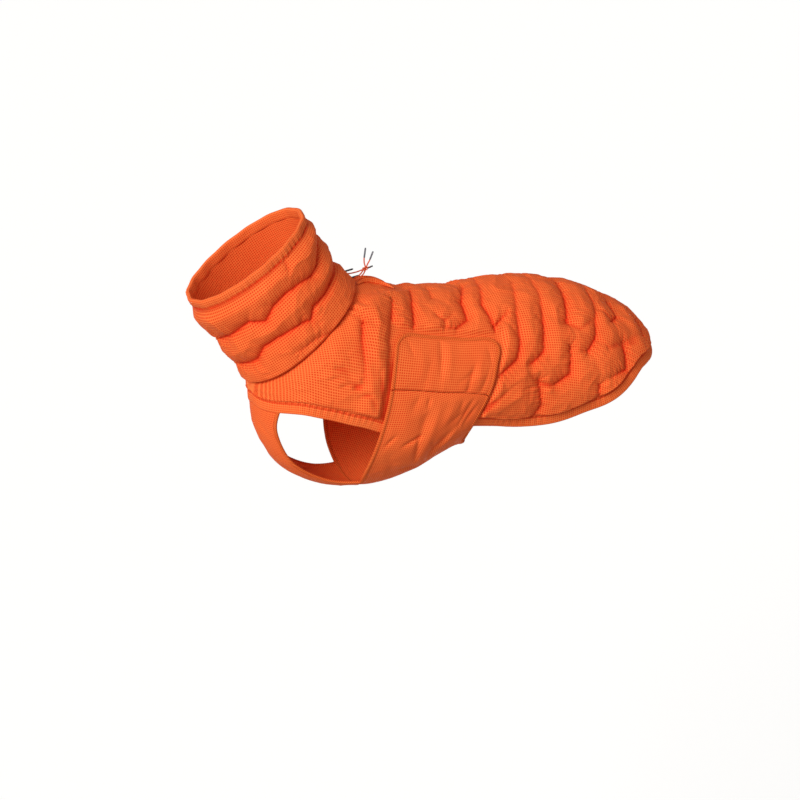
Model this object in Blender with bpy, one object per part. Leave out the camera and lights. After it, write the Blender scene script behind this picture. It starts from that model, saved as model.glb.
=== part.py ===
"""Quilted dog winter coat, filled out as it is worn: back panel, roll collar, chest bib and belly band.

Metres, +Z up.  +X runs to the tail, -X to the head and -Y to the coat's left side.
The origin lies on the inner side of the back panel, on its centre line, where the coat
rests on its wearer.  Every cloth piece is worked out from two hollow forms, the torso and
the neck.  Each form is a run of rings: a ring starts at the back (angle 0), goes down the
left side (angles above 0) and the right side (angles below 0), and closes underneath.
"""
from collections import namedtuple
import math

import bpy
import bmesh
import numpy as np

# ---------------------------------------------------------------- driving sizes, metres

GAP = 0.0004                # between two pieces that meet at a seam
EDGE_GAP = 0.0008           # between a curved edge and the strip that follows it
NECK_SEAM_GAP = 0.0012      # the collar stands this much higher than the panel's neck edge

PANEL_WALL = 0.0025         # quilted shell with its thin inner cloth
PANEL_PUFF = 0.0080         # how far the filling lifts the shell between two quilting lines
YOKE_PUFF = 0.0022          # the plain yoke in front of the quilting
COLLAR_PUFF = 0.0085
PANEL_SEAM_REACH = 0.0120   # distance over which the filling swells up from a quilting line
COLLAR_SEAM_REACH = 0.0090
BIB_WALL = 0.0030
BIB_SWELL = 0.0025          # light filling along the middle of the bib
BIB_FOLD = 0.0010           # soft folds across it
BIB_FOLD_WAVES = (9.0, 7.0) # phase round the bib and along it, radians
BAND_WALL = 0.0030
BAND_CREASE = 0.0012
BAND_CREASE_WAVES = (14.0, 1.5)         # phase across the band's width and along it, radians
TAB_WALL = 0.0030
TAB_CREASE = 0.0011
TAB_CREASE_WAVES = (15.0, 0.8)          # phase across the tab, and where it starts

RIM_HEIGHT = 0.0130         # folded rim of the collar, with the drawcord's channel
HEM_HEIGHT = 0.0155         # folded hem with its elastic
CASING_THICKNESS = 0.0052
BINDING_WIDTH = 0.0056      # corded edge of the flaps and the bib
BINDING_THICKNESS = 0.0040
BIB_BINDING_WIDTH = 0.0050
BINDING_RISE = 0.0002       # a binding's middle stands this much outside the cloth's middle
EDGE_SIDES = 6              # sides of a casing's or binding's section,
OVAL_POWER = 0.7            # which is squarer than an ellipse below 1
LIP_SIDES = 8
SHARP_DEGREES = 50          # edges sharper than this are shaded sharp

QUILT_PITCH = 0.0757        # along the back, between two quilting lines of one row
QUILT_ROW = 0.0430          # girth of one row of the quilting
QUILT_STEP = 0.0360         # how far a line steps forward at its lower end
QUILT_LEAN = 0.0055         # how far a line leans forward inside its row
QUILT_STEP_DROP = 0.0120    # girth that the step itself takes
QUILT_RISE = 0.0430         # a line also reaches this much up, beside the row above,
QUILT_RISE_LEAN = 0.0090    # and leans this much there,
QUILT_RISE_DEPTH = 0.45     # at this share of its depth
QUILT_FIRST_X = -0.0925     # one line crosses this place in the row QUILT_FIRST_GIRTH
QUILT_FIRST_GIRTH = 0.0690
QUILT_FRONT_X = -0.1820     # in front of this the cloth is the plain yoke,
YOKE_TONGUE = 0.1070        # which reaches this much further back along the spine
YOKE_TONGUE_GIRTH = 0.0500  # within about this girth
HEM_HANG = 0.55             # behind the belly band the hem hangs this share of the way to upright
TAIL_NOTCH = 0.55           # stations that the rear hem is cut in above the tail,
TAIL_NOTCH_ANGLE = 0.40     # within about this angle of the spine, radians,
TAIL_NOTCH_RUN = 3          # drawn over this many stations
QUILT_ROWS = range(-7, 6)   # rows of the quilting, from the right side's lowest to the left's,
QUILT_COUNTS = range(-9, 10)            # and places along each row,
QUILT_X = (-0.25, 0.33)     # of which those between these two lie on the panel
VALLEY_POWER = 1.3          # above 1 a sewn valley has a rounder bottom
YOKE_EVEN = 0.6             # share of the yoke's filling that its soft folds leave even
HANG_X = (0.020, 0.060)     # the hem starts to hang between these two, behind the band,
HANG_Y = (0.060, 0.085)     # at this distance from the middle,
HANG_END_X = (0.120, 0.200)             # and ends between these two, before the tail

COLLAR_LINES = (0.036, 0.074)           # quilting lines round the collar, from its seam
COLLAR_LINE_RUN = 0.066                 # a line's length between two of its steps
COLLAR_LINE_STEP = 0.009
COLLAR_LINE_SHIFT = 0.022               # how far the upper line starts past the lower one
COLLAR_TURNS = range(-6, 6)

TAB_CORNER = 0.018          # rounded corner of a closure tab
TAB_WIDTH = 0.138
TAB_DROP = 0.066            # length of a tab from its top edge to the seam
SEAM_HALF_ANGLE = 0.0035    # half the width of the seam between tab and band, radians
DOWN = np.array((0.0, 0.0, -1.0))
CORD = 0.0018               # elastic drawcord, diameter
TIP = 0.0024                # its end sleeves
CORD_STEP = 2.2             # diameters between two of its points

# ---------------------------------------------------------------- tables, metres and degrees

TorsoRing = namedtuple("TorsoRing", "station top_x top_z low_x low_z half_width widest")
TORSO = (
    TorsoRing(0, -0.160, 0.021, -0.292, -0.095, 0.079, 0.50),
    TorsoRing(1, -0.134, 0.019, -0.291, -0.110, 0.091, 0.50),
    TorsoRing(2, -0.108, 0.013, -0.290, -0.129, 0.099, 0.50),
    TorsoRing(3, -0.083, 0.005, -0.283, -0.167, 0.104, 0.50),
    TorsoRing(4, -0.057, 0.002, -0.255, -0.213, 0.107, 0.49),
    TorsoRing(5, -0.028, 0.000, -0.205, -0.242, 0.109, 0.48),
    TorsoRing(6, 0.002, 0.000, -0.150, -0.250, 0.110, 0.48),
    TorsoRing(7, 0.033, 0.003, -0.093, -0.238, 0.109, 0.48),
    TorsoRing(8, 0.066, 0.004, -0.033, -0.212, 0.106, 0.49),
    TorsoRing(9, 0.100, 0.003, 0.030, -0.204, 0.102, 0.54),
    TorsoRing(10, 0.135, -0.002, 0.092, -0.212, 0.100, 0.53),
    TorsoRing(11, 0.168, -0.010, 0.145, -0.213, 0.098, 0.51),
    TorsoRing(12, 0.198, -0.022, 0.183, -0.221, 0.096, 0.50),
    TorsoRing(13, 0.224, -0.036, 0.194, -0.226, 0.093, 0.50),
    TorsoRing(14, 0.250, -0.052, 0.184, -0.221, 0.090, 0.50),
    TorsoRing(15, 0.274, -0.080, 0.156, -0.209, 0.088, 0.50),
)
LAST_STATION = TORSO[-1].station
STATION_SAMPLES = 301       # places along the torso at which a station is looked up

NeckRing = namedtuple("NeckRing", "station top_x top_z low_x low_z half_width widest")
NECK = (
    NeckRing(0.00, -0.1612, 0.0220, -0.2930, -0.0938, 0.0790, 0.50),
    NeckRing(0.25, -0.1825, 0.0480, -0.3110, -0.0660, 0.0800, 0.50),
    NeckRing(0.50, -0.2015, 0.0755, -0.3300, -0.0380, 0.0795, 0.50),
    NeckRing(0.75, -0.2165, 0.1020, -0.3545, -0.0085, 0.0780, 0.50),
    NeckRing(1.00, -0.2300, 0.1280, -0.3770, 0.0235, 0.0760, 0.50),
)
NECK_LENGTH = 0.131
RING_FULLNESS = 0.92        # below 1 the rings are a little squarer than ellipses

# where the back panel ends, as the angle of its edge at each station
HemPoint = namedtuple("HemPoint", "station angle")
HEM = (
    HemPoint(1.10, 180.0),
    HemPoint(1.63, 155.0),
    HemPoint(2.30, 129.5),
    HemPoint(3.15, 112.3),
    HemPoint(4.00, 103.8),
    HemPoint(5.00, 103.0),
    HemPoint(6.20, 103.0),
    HemPoint(7.60, 112.0),
    HemPoint(8.20, 117.5),
    HemPoint(9.00, 120.3),
    HemPoint(10.00, 115.8),
    HemPoint(10.85, 109.3),
    HemPoint(11.40, 103.7),
    HemPoint(12.00, 95.3),
    HemPoint(12.70, 84.5),
    HemPoint(13.40, 73.0),
    HemPoint(14.00, 61.5),
    HemPoint(14.50, 49.5),
    HemPoint(14.80, 37.0),
    HemPoint(15.00, 19.0),
)
CHEST_STATION = HEM[0].station

# the belly band and its closure tabs: x of the front and rear edge at each angle
BandEdge = namedtuple("BandEdge", "angle front_x rear_x")
BAND = (
    BandEdge(50.0, -0.117, 0.0165),
    BandEdge(62.0, -0.124, 0.0170),
    BandEdge(74.0, -0.130, 0.0095),
    BandEdge(90.0, -0.137, 0.0010),
    BandEdge(101.0, -0.143, -0.0085),
    BandEdge(110.0, -0.148, -0.0178),
    BandEdge(120.0, -0.153, -0.0240),
    BandEdge(135.0, -0.157, -0.0240),
    BandEdge(155.0, -0.156, -0.0140),
    BandEdge(180.0, -0.155, -0.0070),
)
TAB_TOP_ANGLES = (53.5, 59.0)           # front end and rear end of the tab's top edge
TAB_SEAM_ANGLES = (85.0, 96.0)          # the same for the seam that joins tab and band
TAB_TOP_BOW = 3.6           # degrees that the top edge's middle rises above a run of even angles
TAB_SEAM_BOW = 6.2          # the same for the seam

# how far the belly band's inner side stands off the torso form
BandLift = namedtuple("BandLift", "angle lift")
BAND_LIFT = (
    BandLift(50.0, 0.0052),
    BandLift(100.0, 0.0052),
    BandLift(119.0, 0.0052),
    BandLift(129.0, 0.0030),
    BandLift(142.0, 0.0004),
    BandLift(180.0, 0.0000),
)

# the chest bib: its half width, as an angle from the centre line underneath
BibWidth = namedtuple("BibWidth", "part half_angle")
BIB = (
    BibWidth(0.00, 31.0),
    BibWidth(0.15, 24.0),
    BibWidth(0.35, 19.5),
    BibWidth(0.60, 18.0),
    BibWidth(0.80, 19.0),
    BibWidth(1.00, 23.0),
)

# the leash slit behind the collar: each raised lip's angle down from the spine, and its rise
LipPoint = namedtuple("LipPoint", "x angle rise")
LIP = (
    LipPoint(-0.151, 10.5, 0.0000),
    LipPoint(-0.143, 6.2, 0.0012),
    LipPoint(-0.133, 3.6, 0.0026),
    LipPoint(-0.122, 3.4, 0.0028),
    LipPoint(-0.111, 5.0, 0.0014),
    LipPoint(-0.101, 8.5, 0.0000),
)
LIP_WIDTH = 0.0046
LIP_SECTIONS = 13

# elastic drawcords: from the collar to the knot and on to their ends
KNOT = (-0.1340, -0.0020, 0.0420)
KNOT_RADII = (0.0034, 0.0031, 0.0038)
KNOT_SEGMENTS = 12
KNOT_RINGS = 8
NEAR_BARB = ((-0.1584, -0.0145, 0.0346), (-0.1465, -0.0120, 0.0362))
FAR_BARB = ((-0.1594, 0.0137, 0.0370), (-0.1460, 0.0110, 0.0405))
NEAR_CORD = ((-0.1458, -0.0119, 0.0364), (-0.1420, -0.0085, 0.0382), (-0.1371, -0.0041, 0.0411))
FAR_CORD = ((-0.1584, 0.0099, 0.0348), (-0.1495, 0.0085, 0.0354), (-0.1435, 0.0045, 0.0375),
            (-0.1373, -0.0004, 0.0408))
SHADE_CORD = ((-0.1592, -0.0192, 0.0323), (-0.1500, -0.0170, 0.0327), (-0.1420, -0.0105, 0.0350),
              (-0.1354, -0.0038, 0.0387))
TALL_END = ((-0.1344, -0.0016, 0.04612), (-0.1347, -0.0008, 0.0510), (-0.1345, 0.0, 0.0560))
LEANING_END = ((-0.13206, -0.00253, 0.04553), (-0.1300, -0.0030, 0.0500), (-0.1280, -0.0034, 0.0536))
TALL_TIP = ((-0.13443, 0.0, 0.0564), (-0.1320, 0.0010, 0.0705))
LEANING_TIP = ((-0.12785, -0.0035, 0.05395), (-0.1230, -0.0040, 0.0660))
SHORT_TIP = ((-0.13031, -0.0020, 0.04292), (-0.1228, -0.0022, 0.0456))

# ---------------------------------------------------------------- colours

ORANGE = (0.89, 0.13, 0.027)
SEAM_ORANGE = (0.80, 0.085, 0.018)
CORD_ORANGE = (0.86, 0.17, 0.045)
TIP_GREY = (0.10, 0.11, 0.12)
BARB_BLACK = (0.018, 0.018, 0.020)
SHELL_ROUGHNESS = 0.55
TRIM_ROUGHNESS = 0.60
TIP_ROUGHNESS = 0.35


# ---------------------------------------------------------------- reading the tables

def read_table(rows, at, column):
    """Smooth curve through one column of a table, whose first column is the position."""
    x = np.array([row[0] for row in rows], float)
    y = np.array([getattr(row, column) for row in rows], float)
    slope = np.gradient(y, x)
    at = np.clip(np.asarray(at, float), x[0], x[-1])
    k = np.clip(np.searchsorted(x, at, side="right") - 1, 0, len(x) - 2)
    step = x[k + 1] - x[k]
    t = (at - x[k]) / step
    rise = y[k + 1] - y[k]
    bend_in = step * slope[k] - rise
    bend_out = rise - step * slope[k + 1]
    return y[k] + t * rise + t * (1 - t) * ((1 - t) * bend_in + t * bend_out)


def smoothstep(low, high, value):
    t = np.clip((value - low) / (high - low), 0.0, 1.0)
    return t * t * (3 - 2 * t)


# ---------------------------------------------------------------- the two hollow forms

def ring_point(rows, station, angle):
    """Point of a ring form.  The ring hangs from its top point to its low point; across,
    it is half_width wide, widest at the share `widest` of the way down."""
    top_x = read_table(rows, station, "top_x")
    top_z = read_table(rows, station, "top_z")
    low_x = read_table(rows, station, "low_x")
    low_z = read_table(rows, station, "low_z")
    widest = read_table(rows, station, "widest")
    cosine = np.cos(angle)
    sine = np.sin(angle)
    down = np.where(cosine >= 0, widest * (1 - cosine), widest - (1 - widest) * cosine)
    across = np.sign(sine) * np.abs(sine) ** RING_FULLNESS
    y = -read_table(rows, station, "half_width") * across
    return np.stack([top_x + (low_x - top_x) * down, y, top_z + (low_z - top_z) * down], -1)


def ring_normal(rows, station, angle):
    """Outward unit normal of a ring form, from its two directions at the point."""
    last = rows[-1][0]
    small_s = 1e-3 * last
    small_a = 1e-3
    station = np.clip(station, small_s, last - small_s)
    along = ring_point(rows, station + small_s, angle) - ring_point(rows, station - small_s, angle)
    around = ring_point(rows, station, angle + small_a) - ring_point(rows, station, angle - small_a)
    normal = np.cross(around, along)
    normal /= np.linalg.norm(normal, axis=-1, keepdims=True)
    middle = (ring_point(rows, station, angle * 0) + ring_point(rows, station, angle * 0 + math.pi)) / 2
    outside = ((ring_point(rows, station, angle) - middle) * normal).sum(-1)
    return normal * np.sign(outside)[..., None]


def skin(rows, station, angle, lift):
    """Point that stands `lift` off a ring form."""
    station, angle, lift = np.broadcast_arrays(station, angle, lift)
    return ring_point(rows, station, angle) + ring_normal(rows, station, angle) * lift[..., None]


def girth(rows, station, angle):
    """Length along the ring from the back's centre line, positive down the left side."""
    steps = 24
    share = np.linspace(0.0, 1.0, steps + 1)
    angles = angle[..., None] * share
    points = ring_point(rows, station[..., None], angles)
    length = np.linalg.norm(np.diff(points, axis=-2), axis=-1).sum(-1)
    return np.sign(angle) * length


def station_at(x, angle):
    """Station of the torso form where the ring passes the given x at the given angle."""
    stations = np.linspace(0.0, LAST_STATION, STATION_SAMPLES)
    x, angle = np.broadcast_arrays(x, angle)
    found = np.empty(x.shape)
    for place in np.ndindex(x.shape):
        xs = ring_point(TORSO, stations, np.full_like(stations, angle[place]))[:, 0]
        found[place] = np.interp(x[place], xs, stations)
    return found


# ---------------------------------------------------------------- quilting

def seam_valley(u, v, lines, reach):
    """How deep each point (u, v) lies in the valleys along `lines`: 1 on a line that is sewn
    right through, `depth` on a shallower one, and near 0 beyond `reach` on either side."""
    valley = np.zeros(u.shape)
    for u0, v0, u1, v1, depth in lines:
        du = u1 - u0
        dv = v1 - v0
        t = np.clip(((u - u0) * du + (v - v0) * dv) / (du * du + dv * dv), 0.0, 1.0)
        distance = np.hypot(u - u0 - t * du, v - v0 - t * dv)
        valley = np.maximum(valley, depth * np.exp(-(distance / reach) ** VALLEY_POWER))
    return valley


def panel_quilt_lines():
    """Lines of the back panel over (x, girth): each leans down two rows, then steps forward."""
    lines = []
    for row in QUILT_ROWS:
        middle = QUILT_FIRST_GIRTH + QUILT_ROW * row
        high = middle - (QUILT_ROW - QUILT_STEP_DROP) / 2
        low = middle + (QUILT_ROW - QUILT_STEP_DROP) / 2
        for count in QUILT_COUNTS:
            x = QUILT_FIRST_X + QUILT_PITCH * count - (QUILT_STEP + QUILT_LEAN) * row
            if not QUILT_X[0] < x < QUILT_X[1]:
                continue
            upper_x = x + QUILT_LEAN / 2
            lower_x = x - QUILT_LEAN / 2
            step_x = lower_x - QUILT_STEP
            lines.append((upper_x + QUILT_RISE_LEAN, high - QUILT_RISE, upper_x, high, QUILT_RISE_DEPTH))
            lines.append((upper_x, high, lower_x, low, 1.0))
            lines.append((lower_x, low, step_x, low + QUILT_STEP_DROP, 1.0))
    return lines


def collar_quilt_lines():
    """Lines round the collar over (girth, height): each drifts down, then steps up."""
    lines = []
    for number, height in enumerate(COLLAR_LINES):
        for turn in COLLAR_TURNS:
            start = turn * COLLAR_LINE_RUN + COLLAR_LINE_SHIFT * number
            end = start + COLLAR_LINE_RUN - COLLAR_LINE_STEP
            low = height - COLLAR_LINE_STEP / 2
            high = height + COLLAR_LINE_STEP / 2
            lines.append((start, low, end, high, 1.0))
            lines.append((end, high, end + COLLAR_LINE_STEP, low, 1.0))
    return lines


def bowed(angles, bow, share):
    """Angle between a front and a rear angle, in radians, less a bow that keeps the edge level."""
    return np.radians(angles[0] * (1 - share) + angles[1] * share - 4 * bow * share * (1 - share))


def tab_cover(x, angle):
    """1 where a closure tab or the belly band presses the panel flat, 0 well away from it."""
    side = np.abs(np.degrees(angle))
    front = read_table(BAND, side, "front_x")
    rear = read_table(BAND, side, "rear_x")
    share = np.clip((x - front) / (rear - front), 0.0, 1.0)
    top = np.degrees(bowed(TAB_TOP_ANGLES, TAB_TOP_BOW, share))
    margin = 0.010
    fade = 0.024
    margin_angle = 6.0
    fade_angle = 13.0
    behind_front = smoothstep(front - fade, front - margin, x)
    before_rear = 1 - smoothstep(rear + margin, rear + fade, x)
    below_top = smoothstep(top - fade_angle, top - margin_angle, side)
    return np.minimum(behind_front, before_rear) * below_top


def panel_puff(station, angle, edge_distance):
    """How far the quilted panel's outer side stands off its wall."""
    point = ring_point(TORSO, station, angle)
    around = girth(TORSO, station, angle)
    x = point[..., 0]
    front = QUILT_FRONT_X + YOKE_TONGUE * np.exp(-(around / YOKE_TONGUE_GIRTH) ** 2)
    quilted = smoothstep(front - 0.010, front + 0.006, x)
    puff = PANEL_PUFF * (1 - seam_valley(x, around, panel_quilt_lines(), PANEL_SEAM_REACH))
    fold_girth = 0.070
    fold_length = 0.110
    yoke_fold = 0.5 + 0.5 * np.cos(2 * math.pi * (around / fold_girth + x / fold_length))
    puff = quilted * puff + (1 - quilted) * YOKE_PUFF * (YOKE_EVEN + (1 - YOKE_EVEN) * yoke_fold)
    edge_reach = 0.016
    pressed_share = 0.88
    puff *= smoothstep(0.0, edge_reach, edge_distance)
    return puff * (1 - pressed_share * tab_cover(x, angle))


# ---------------------------------------------------------------- building solids

def signed_volume(points, faces):
    volume = 0.0
    for face in faces:
        first = points[face[0]]
        for second, third in zip(face[1:-1], face[2:]):
            volume += np.dot(first, np.cross(points[second], points[third]))
    return volume / 6


def make_solid(name, points, faces, material):
    """Mesh object from points and faces that already agree in direction."""
    if signed_volume(points, faces) < 0:
        faces = [face[::-1] for face in faces]
    mesh = bpy.data.meshes.new(name)
    mesh.from_pydata([tuple(p) for p in points], [], [tuple(int(i) for i in f) for f in faces])
    mesh.shade_smooth()
    mesh.set_sharp_from_angle(angle=math.radians(SHARP_DEGREES))
    mesh.materials.append(material)
    solid = bpy.data.objects.new(name, mesh)
    coat_collection().objects.link(solid)
    return solid


def grid_numbers(first, rows, columns, closed_rows):
    """Point numbers of a grid; in its first `closed_rows` rows the last column is the first."""
    numbers = np.empty((rows, columns), int)
    count = first
    for i in range(rows):
        own = columns - 1 if i < closed_rows else columns
        numbers[i, :own] = np.arange(count, count + own)
        if own < columns:
            numbers[i, -1] = numbers[i, 0]
        count += own
    return numbers, count


def grid_points(grid, closed_rows):
    rows = [row[:-1] if i < closed_rows else row for i, row in enumerate(grid)]
    return np.concatenate(rows)


def rim_path(rows, columns, closed_rows):
    """Closed runs of (row, column) round the open edges of a grid."""
    last_row, last_column = rows - 1, columns - 1
    first_row = [(0, j) for j in range(columns)]
    right = [(i, last_column) for i in range(rows)]
    end_row = [(last_row, j) for j in range(last_column, -1, -1)]
    left = [(i, 0) for i in range(last_row, -1, -1)]
    if closed_rows == 0:
        return [first_row + right[1:] + end_row[1:] + left[1:]]
    if closed_rows >= rows:
        return [first_row, end_row]
    split = closed_rows - 1
    return [first_row, right[split:] + end_row[1:] + left[1:rows - split]]


def wall_solid(name, outer, inner, material, closed_rows=0):
    """Cloth wall between an outer grid and an inner grid, which may be half as fine."""
    rows, columns = outer.shape[:2]
    ratio = (rows - 1) // (inner.shape[0] - 1)
    inner_closed = (closed_rows - 1) // ratio + 1 if closed_rows else 0
    out, count = grid_numbers(0, rows, columns, closed_rows)
    into, count = grid_numbers(count, inner.shape[0], inner.shape[1], inner_closed)
    points = np.concatenate([grid_points(outer, closed_rows), grid_points(inner, inner_closed)])
    faces = []
    for i in range(rows - 1):
        for j in range(columns - 1):
            faces.append((out[i, j], out[i + 1, j], out[i + 1, j + 1], out[i, j + 1]))
    for i in range(inner.shape[0] - 1):
        for j in range(inner.shape[1] - 1):
            faces.append((into[i, j], into[i, j + 1], into[i + 1, j + 1], into[i + 1, j]))
    for path in rim_path(rows, columns, closed_rows):
        for k in range(0, len(path) - ratio, ratio):
            edge = [out[place] for place in path[k:k + ratio + 1]]
            start, end = path[k], path[k + ratio]
            faces.append((*edge, into[end[0] // ratio, end[1] // ratio],
                          into[start[0] // ratio, start[1] // ratio]))
    return make_solid(name, points, faces, material)


def tube_solid(name, sections, material, closed):
    """Solid through a run of sections with equal counts of points, a ring if closed."""
    count, sides = sections.shape[:2]
    points = sections.reshape(-1, 3)
    faces = []
    for i in range(count if closed else count - 1):
        here, there = i * sides, ((i + 1) % count) * sides
        for j in range(sides):
            k = (j + 1) % sides
            faces.append((here + j, there + j, there + k, here + k))
    if not closed:
        faces.append(tuple(range(sides)))
        faces.append(tuple((count - 1) * sides + j for j in range(sides - 1, -1, -1)))
    return make_solid(name, points, faces, material)


def oval(width, thickness, sides):
    """Section of a folded edge: (across, out) offsets of a rounded flat shape."""
    turn = 2 * math.pi * (np.arange(sides) + 0.5) / sides
    across = np.sign(np.cos(turn)) * np.abs(np.cos(turn)) ** OVAL_POWER
    out = np.sign(np.sin(turn)) * np.abs(np.sin(turn)) ** OVAL_POWER
    across *= width / 2 / np.abs(across).max()
    out *= thickness / 2 / np.abs(out).max()
    return across, out


def edge_strip(name, centre, away, outward, section, material, closed):
    """Folded or corded edge that runs along `centre`; `away` points off the cloth's edge.

    `section` is its width, thickness and sides; the first two may have a value for each place."""
    sections = []
    width, thickness, sides = section
    width = np.broadcast_to(width, len(centre))
    thickness = np.broadcast_to(thickness, len(centre))
    for k, middle in enumerate(centre):
        across, out = oval(width[k], thickness[k], sides)
        sections.append(middle + across[:, None] * away[k] + out[:, None] * outward[k])
    return tube_solid(name, np.array(sections), material, closed)


def even_path(points, count, closed):
    """The same run at `count` places an equal length apart, all its columns together."""
    run = np.concatenate([points, points[:1]]) if closed else points
    length = np.concatenate([[0.0], np.cumsum(np.linalg.norm(np.diff(run[:, :3], axis=0), axis=1))])
    at = np.linspace(0.0, length[-1], count + 1)[:-1] if closed else np.linspace(0.0, length[-1], count)
    return np.stack([np.interp(at, length, run[:, k]) for k in range(run.shape[1])], -1)


def unit(vectors):
    return vectors / np.linalg.norm(vectors, axis=-1, keepdims=True)


AWAY_PASSES = 6             # how often the run of a closed strip's directions is averaged


def smooth_ring(points, passes):
    """Average each point of a closed run with its two neighbours, a few times."""
    for _ in range(passes):
        points = 0.25 * np.roll(points, 1, axis=0) + 0.5 * points + 0.25 * np.roll(points, -1, axis=0)
    return points


def bound_edge(name, edge, outward, inside, count, section, material,
               closed=False, shape=None, hang=None):
    """Strip along the open edge of a cloth piece; `section` is its width, thickness and sides.

    `inside` are points a little way into the cloth, which the strip lies away from.
    `shape` may scale the thickness, given the strip's points, and `hang` turn it to upright."""
    data = even_path(np.concatenate([edge, outward, inside], axis=1), count, closed)
    edge, outward, inside = data[:, :3], unit(data[:, 3:6]), data[:, 6:]
    if closed:
        along = np.roll(edge, -1, axis=0) - np.roll(edge, 1, axis=0)
    else:
        along = np.gradient(edge, axis=0)
    away = unit(np.cross(along, outward))
    away *= np.sign(((edge - inside) * away).sum(-1, keepdims=True))
    if closed:
        away = unit(smooth_ring(away, AWAY_PASSES))
    if hang is not None:
        away = unit(away + hang(edge)[:, None] * (DOWN - away))
        upright = np.cross(away, along)
        outward = unit(upright * np.sign((upright * outward).sum(-1, keepdims=True)))
    width, thickness, sides = section
    centre = edge + away * (EDGE_GAP * (1.5 if closed else 1.0) + width / 2)
    scale = np.ones(count) if shape is None else shape(centre)
    section = (width, thickness * scale, sides)
    return edge_strip(name, centre, away, outward, section, material, closed)


# ---------------------------------------------------------------- back panel and hem

PANEL_CLOSED = 4            # rows of the grid in front of the chest, where the panel is a tube
PANEL_ROWS = 60
PANEL_COLUMNS = 34
HEM_SECTIONS = 116
HEM_FRONT = 3.0             # up to this station the hem is read at HEM_FRONT_POINTS places,
HEM_FRONT_POINTS = 24
HEM_REAR_POINTS = 90        # behind it at these,
HEM_TAIL_POINTS = 20        # and over the tail at these


def hem_angle(station):
    return np.radians(read_table(HEM, station, "angle"))


def notched(station, angle):
    """Pull the last rows forward along the spine, where the hem is cut in for the tail."""
    late = smoothstep(LAST_STATION - TAIL_NOTCH_RUN, LAST_STATION, station)
    return station - TAIL_NOTCH * late * np.exp(-(angle / TAIL_NOTCH_ANGLE) ** 2)


def panel_grid(rows, columns):
    """Stations and angles of the back panel: whole rings first, then arcs down to the hem."""
    closed = PANEL_CLOSED * rows // PANEL_ROWS
    front = np.linspace(0.0, CHEST_STATION, closed + 1)
    back = np.linspace(CHEST_STATION, LAST_STATION, rows - closed + 1)[1:]
    stations = np.concatenate([front, back])
    limit = np.where(stations <= CHEST_STATION, math.pi, hem_angle(stations))
    angle = limit[:, None] * np.linspace(1.0, -1.0, columns + 1)[None, :]
    return notched(stations[:, None], angle), angle


def panel_edge_distance(station, angle):
    """Rough distance from the panel's nearest edge: the neck seam, the hem or the rear.

    It is worked out from mean lengths: of one radian round the ring, and of one station
    near the neck, under the chest and at the rear."""
    radian = 0.105
    neck_station = 0.020 + 0.006 * np.cos(angle)
    chest_station = 0.014
    chest_radian = 0.080
    rear_station = 0.026
    far = 1.0
    before_chest = station <= CHEST_STATION
    to_hem = np.where(before_chest, far, (hem_angle(station) - np.abs(angle)) * radian)
    to_neck = station * neck_station
    to_rear = (LAST_STATION - station) * rear_station
    to_chest = (CHEST_STATION - station) * chest_station + (math.pi - np.abs(angle)) * chest_radian
    to_chest = np.where(before_chest, to_chest, far)
    return np.minimum.reduce([to_hem, to_neck, to_rear, to_chest])


def build_back_panel(material):
    station, angle = panel_grid(PANEL_ROWS, PANEL_COLUMNS)
    puff = panel_puff(station, angle, panel_edge_distance(station, angle))
    outer = skin(TORSO, station, angle, PANEL_WALL + puff)
    inner = ring_point(TORSO, station[::2, ::2], angle[::2, ::2])
    closed_rows = PANEL_CLOSED + 1
    outer[:closed_rows, -1] = outer[:closed_rows, 0]
    return wall_solid("back_panel", outer, inner, material, closed_rows)


def hem_run():
    """Stations and angles all round the panel's lower edge, from the chest back to the chest."""
    before = np.linspace(CHEST_STATION, HEM_FRONT, HEM_FRONT_POINTS)
    behind = np.linspace(HEM_FRONT, LAST_STATION, HEM_REAR_POINTS)[1:]
    stations = np.concatenate([before, behind])
    left = np.stack([stations, hem_angle(stations)], -1)
    left[0, 1] = math.pi
    rear_angle = hem_angle(LAST_STATION)
    rear_angles = np.linspace(rear_angle, -rear_angle, HEM_TAIL_POINTS)[1:-1]
    rear = np.stack([np.full_like(rear_angles, LAST_STATION), rear_angles], -1)
    right = left[::-1] * (1, -1)
    run = np.concatenate([left, rear, right[:-1]])
    run[:, 0] = notched(run[:, 0], run[:, 1])
    return run


def casing_waves(centre):
    """Low waves that the elastic draws into the hem, pressed flat under the belly band."""
    band_angle = math.radians(100.0)
    wave_share = 0.09
    pressed_share = 0.14
    flat = tab_cover(centre[:, 0], np.full(len(centre), band_angle))
    wave = np.where(np.arange(len(centre)) % 2 == 0, 1.0, -1.0)
    return 1 + wave_share * wave * (1 - flat) - pressed_share * flat


def hem_hang(edge):
    """How far the casing hangs to upright: behind the belly band, and not over the tail."""
    behind_band = smoothstep(*HANG_X, edge[:, 0])
    at_the_side = smoothstep(*HANG_Y, np.abs(edge[:, 1]))
    before_tail = 1 - smoothstep(*HANG_END_X, edge[:, 0])
    return HEM_HANG * behind_band * at_the_side * before_tail


def build_hem_casing(material):
    """One closed band round the panel's lower edge."""
    run = hem_run()
    outward = ring_normal(TORSO, run[:, 0], run[:, 1])
    edge = ring_point(TORSO, run[:, 0], run[:, 1]) + outward * PANEL_WALL / 2
    nearer = 0.97
    inside = ring_point(TORSO, run[:, 0] * nearer, run[:, 1] * nearer)
    section = (HEM_HEIGHT, CASING_THICKNESS, EDGE_SIDES)
    return bound_edge("hem_casing", edge, outward, inside, HEM_SECTIONS, section, material,
                      closed=True, shape=casing_waves, hang=hem_hang)


# ---------------------------------------------------------------- collar

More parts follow.
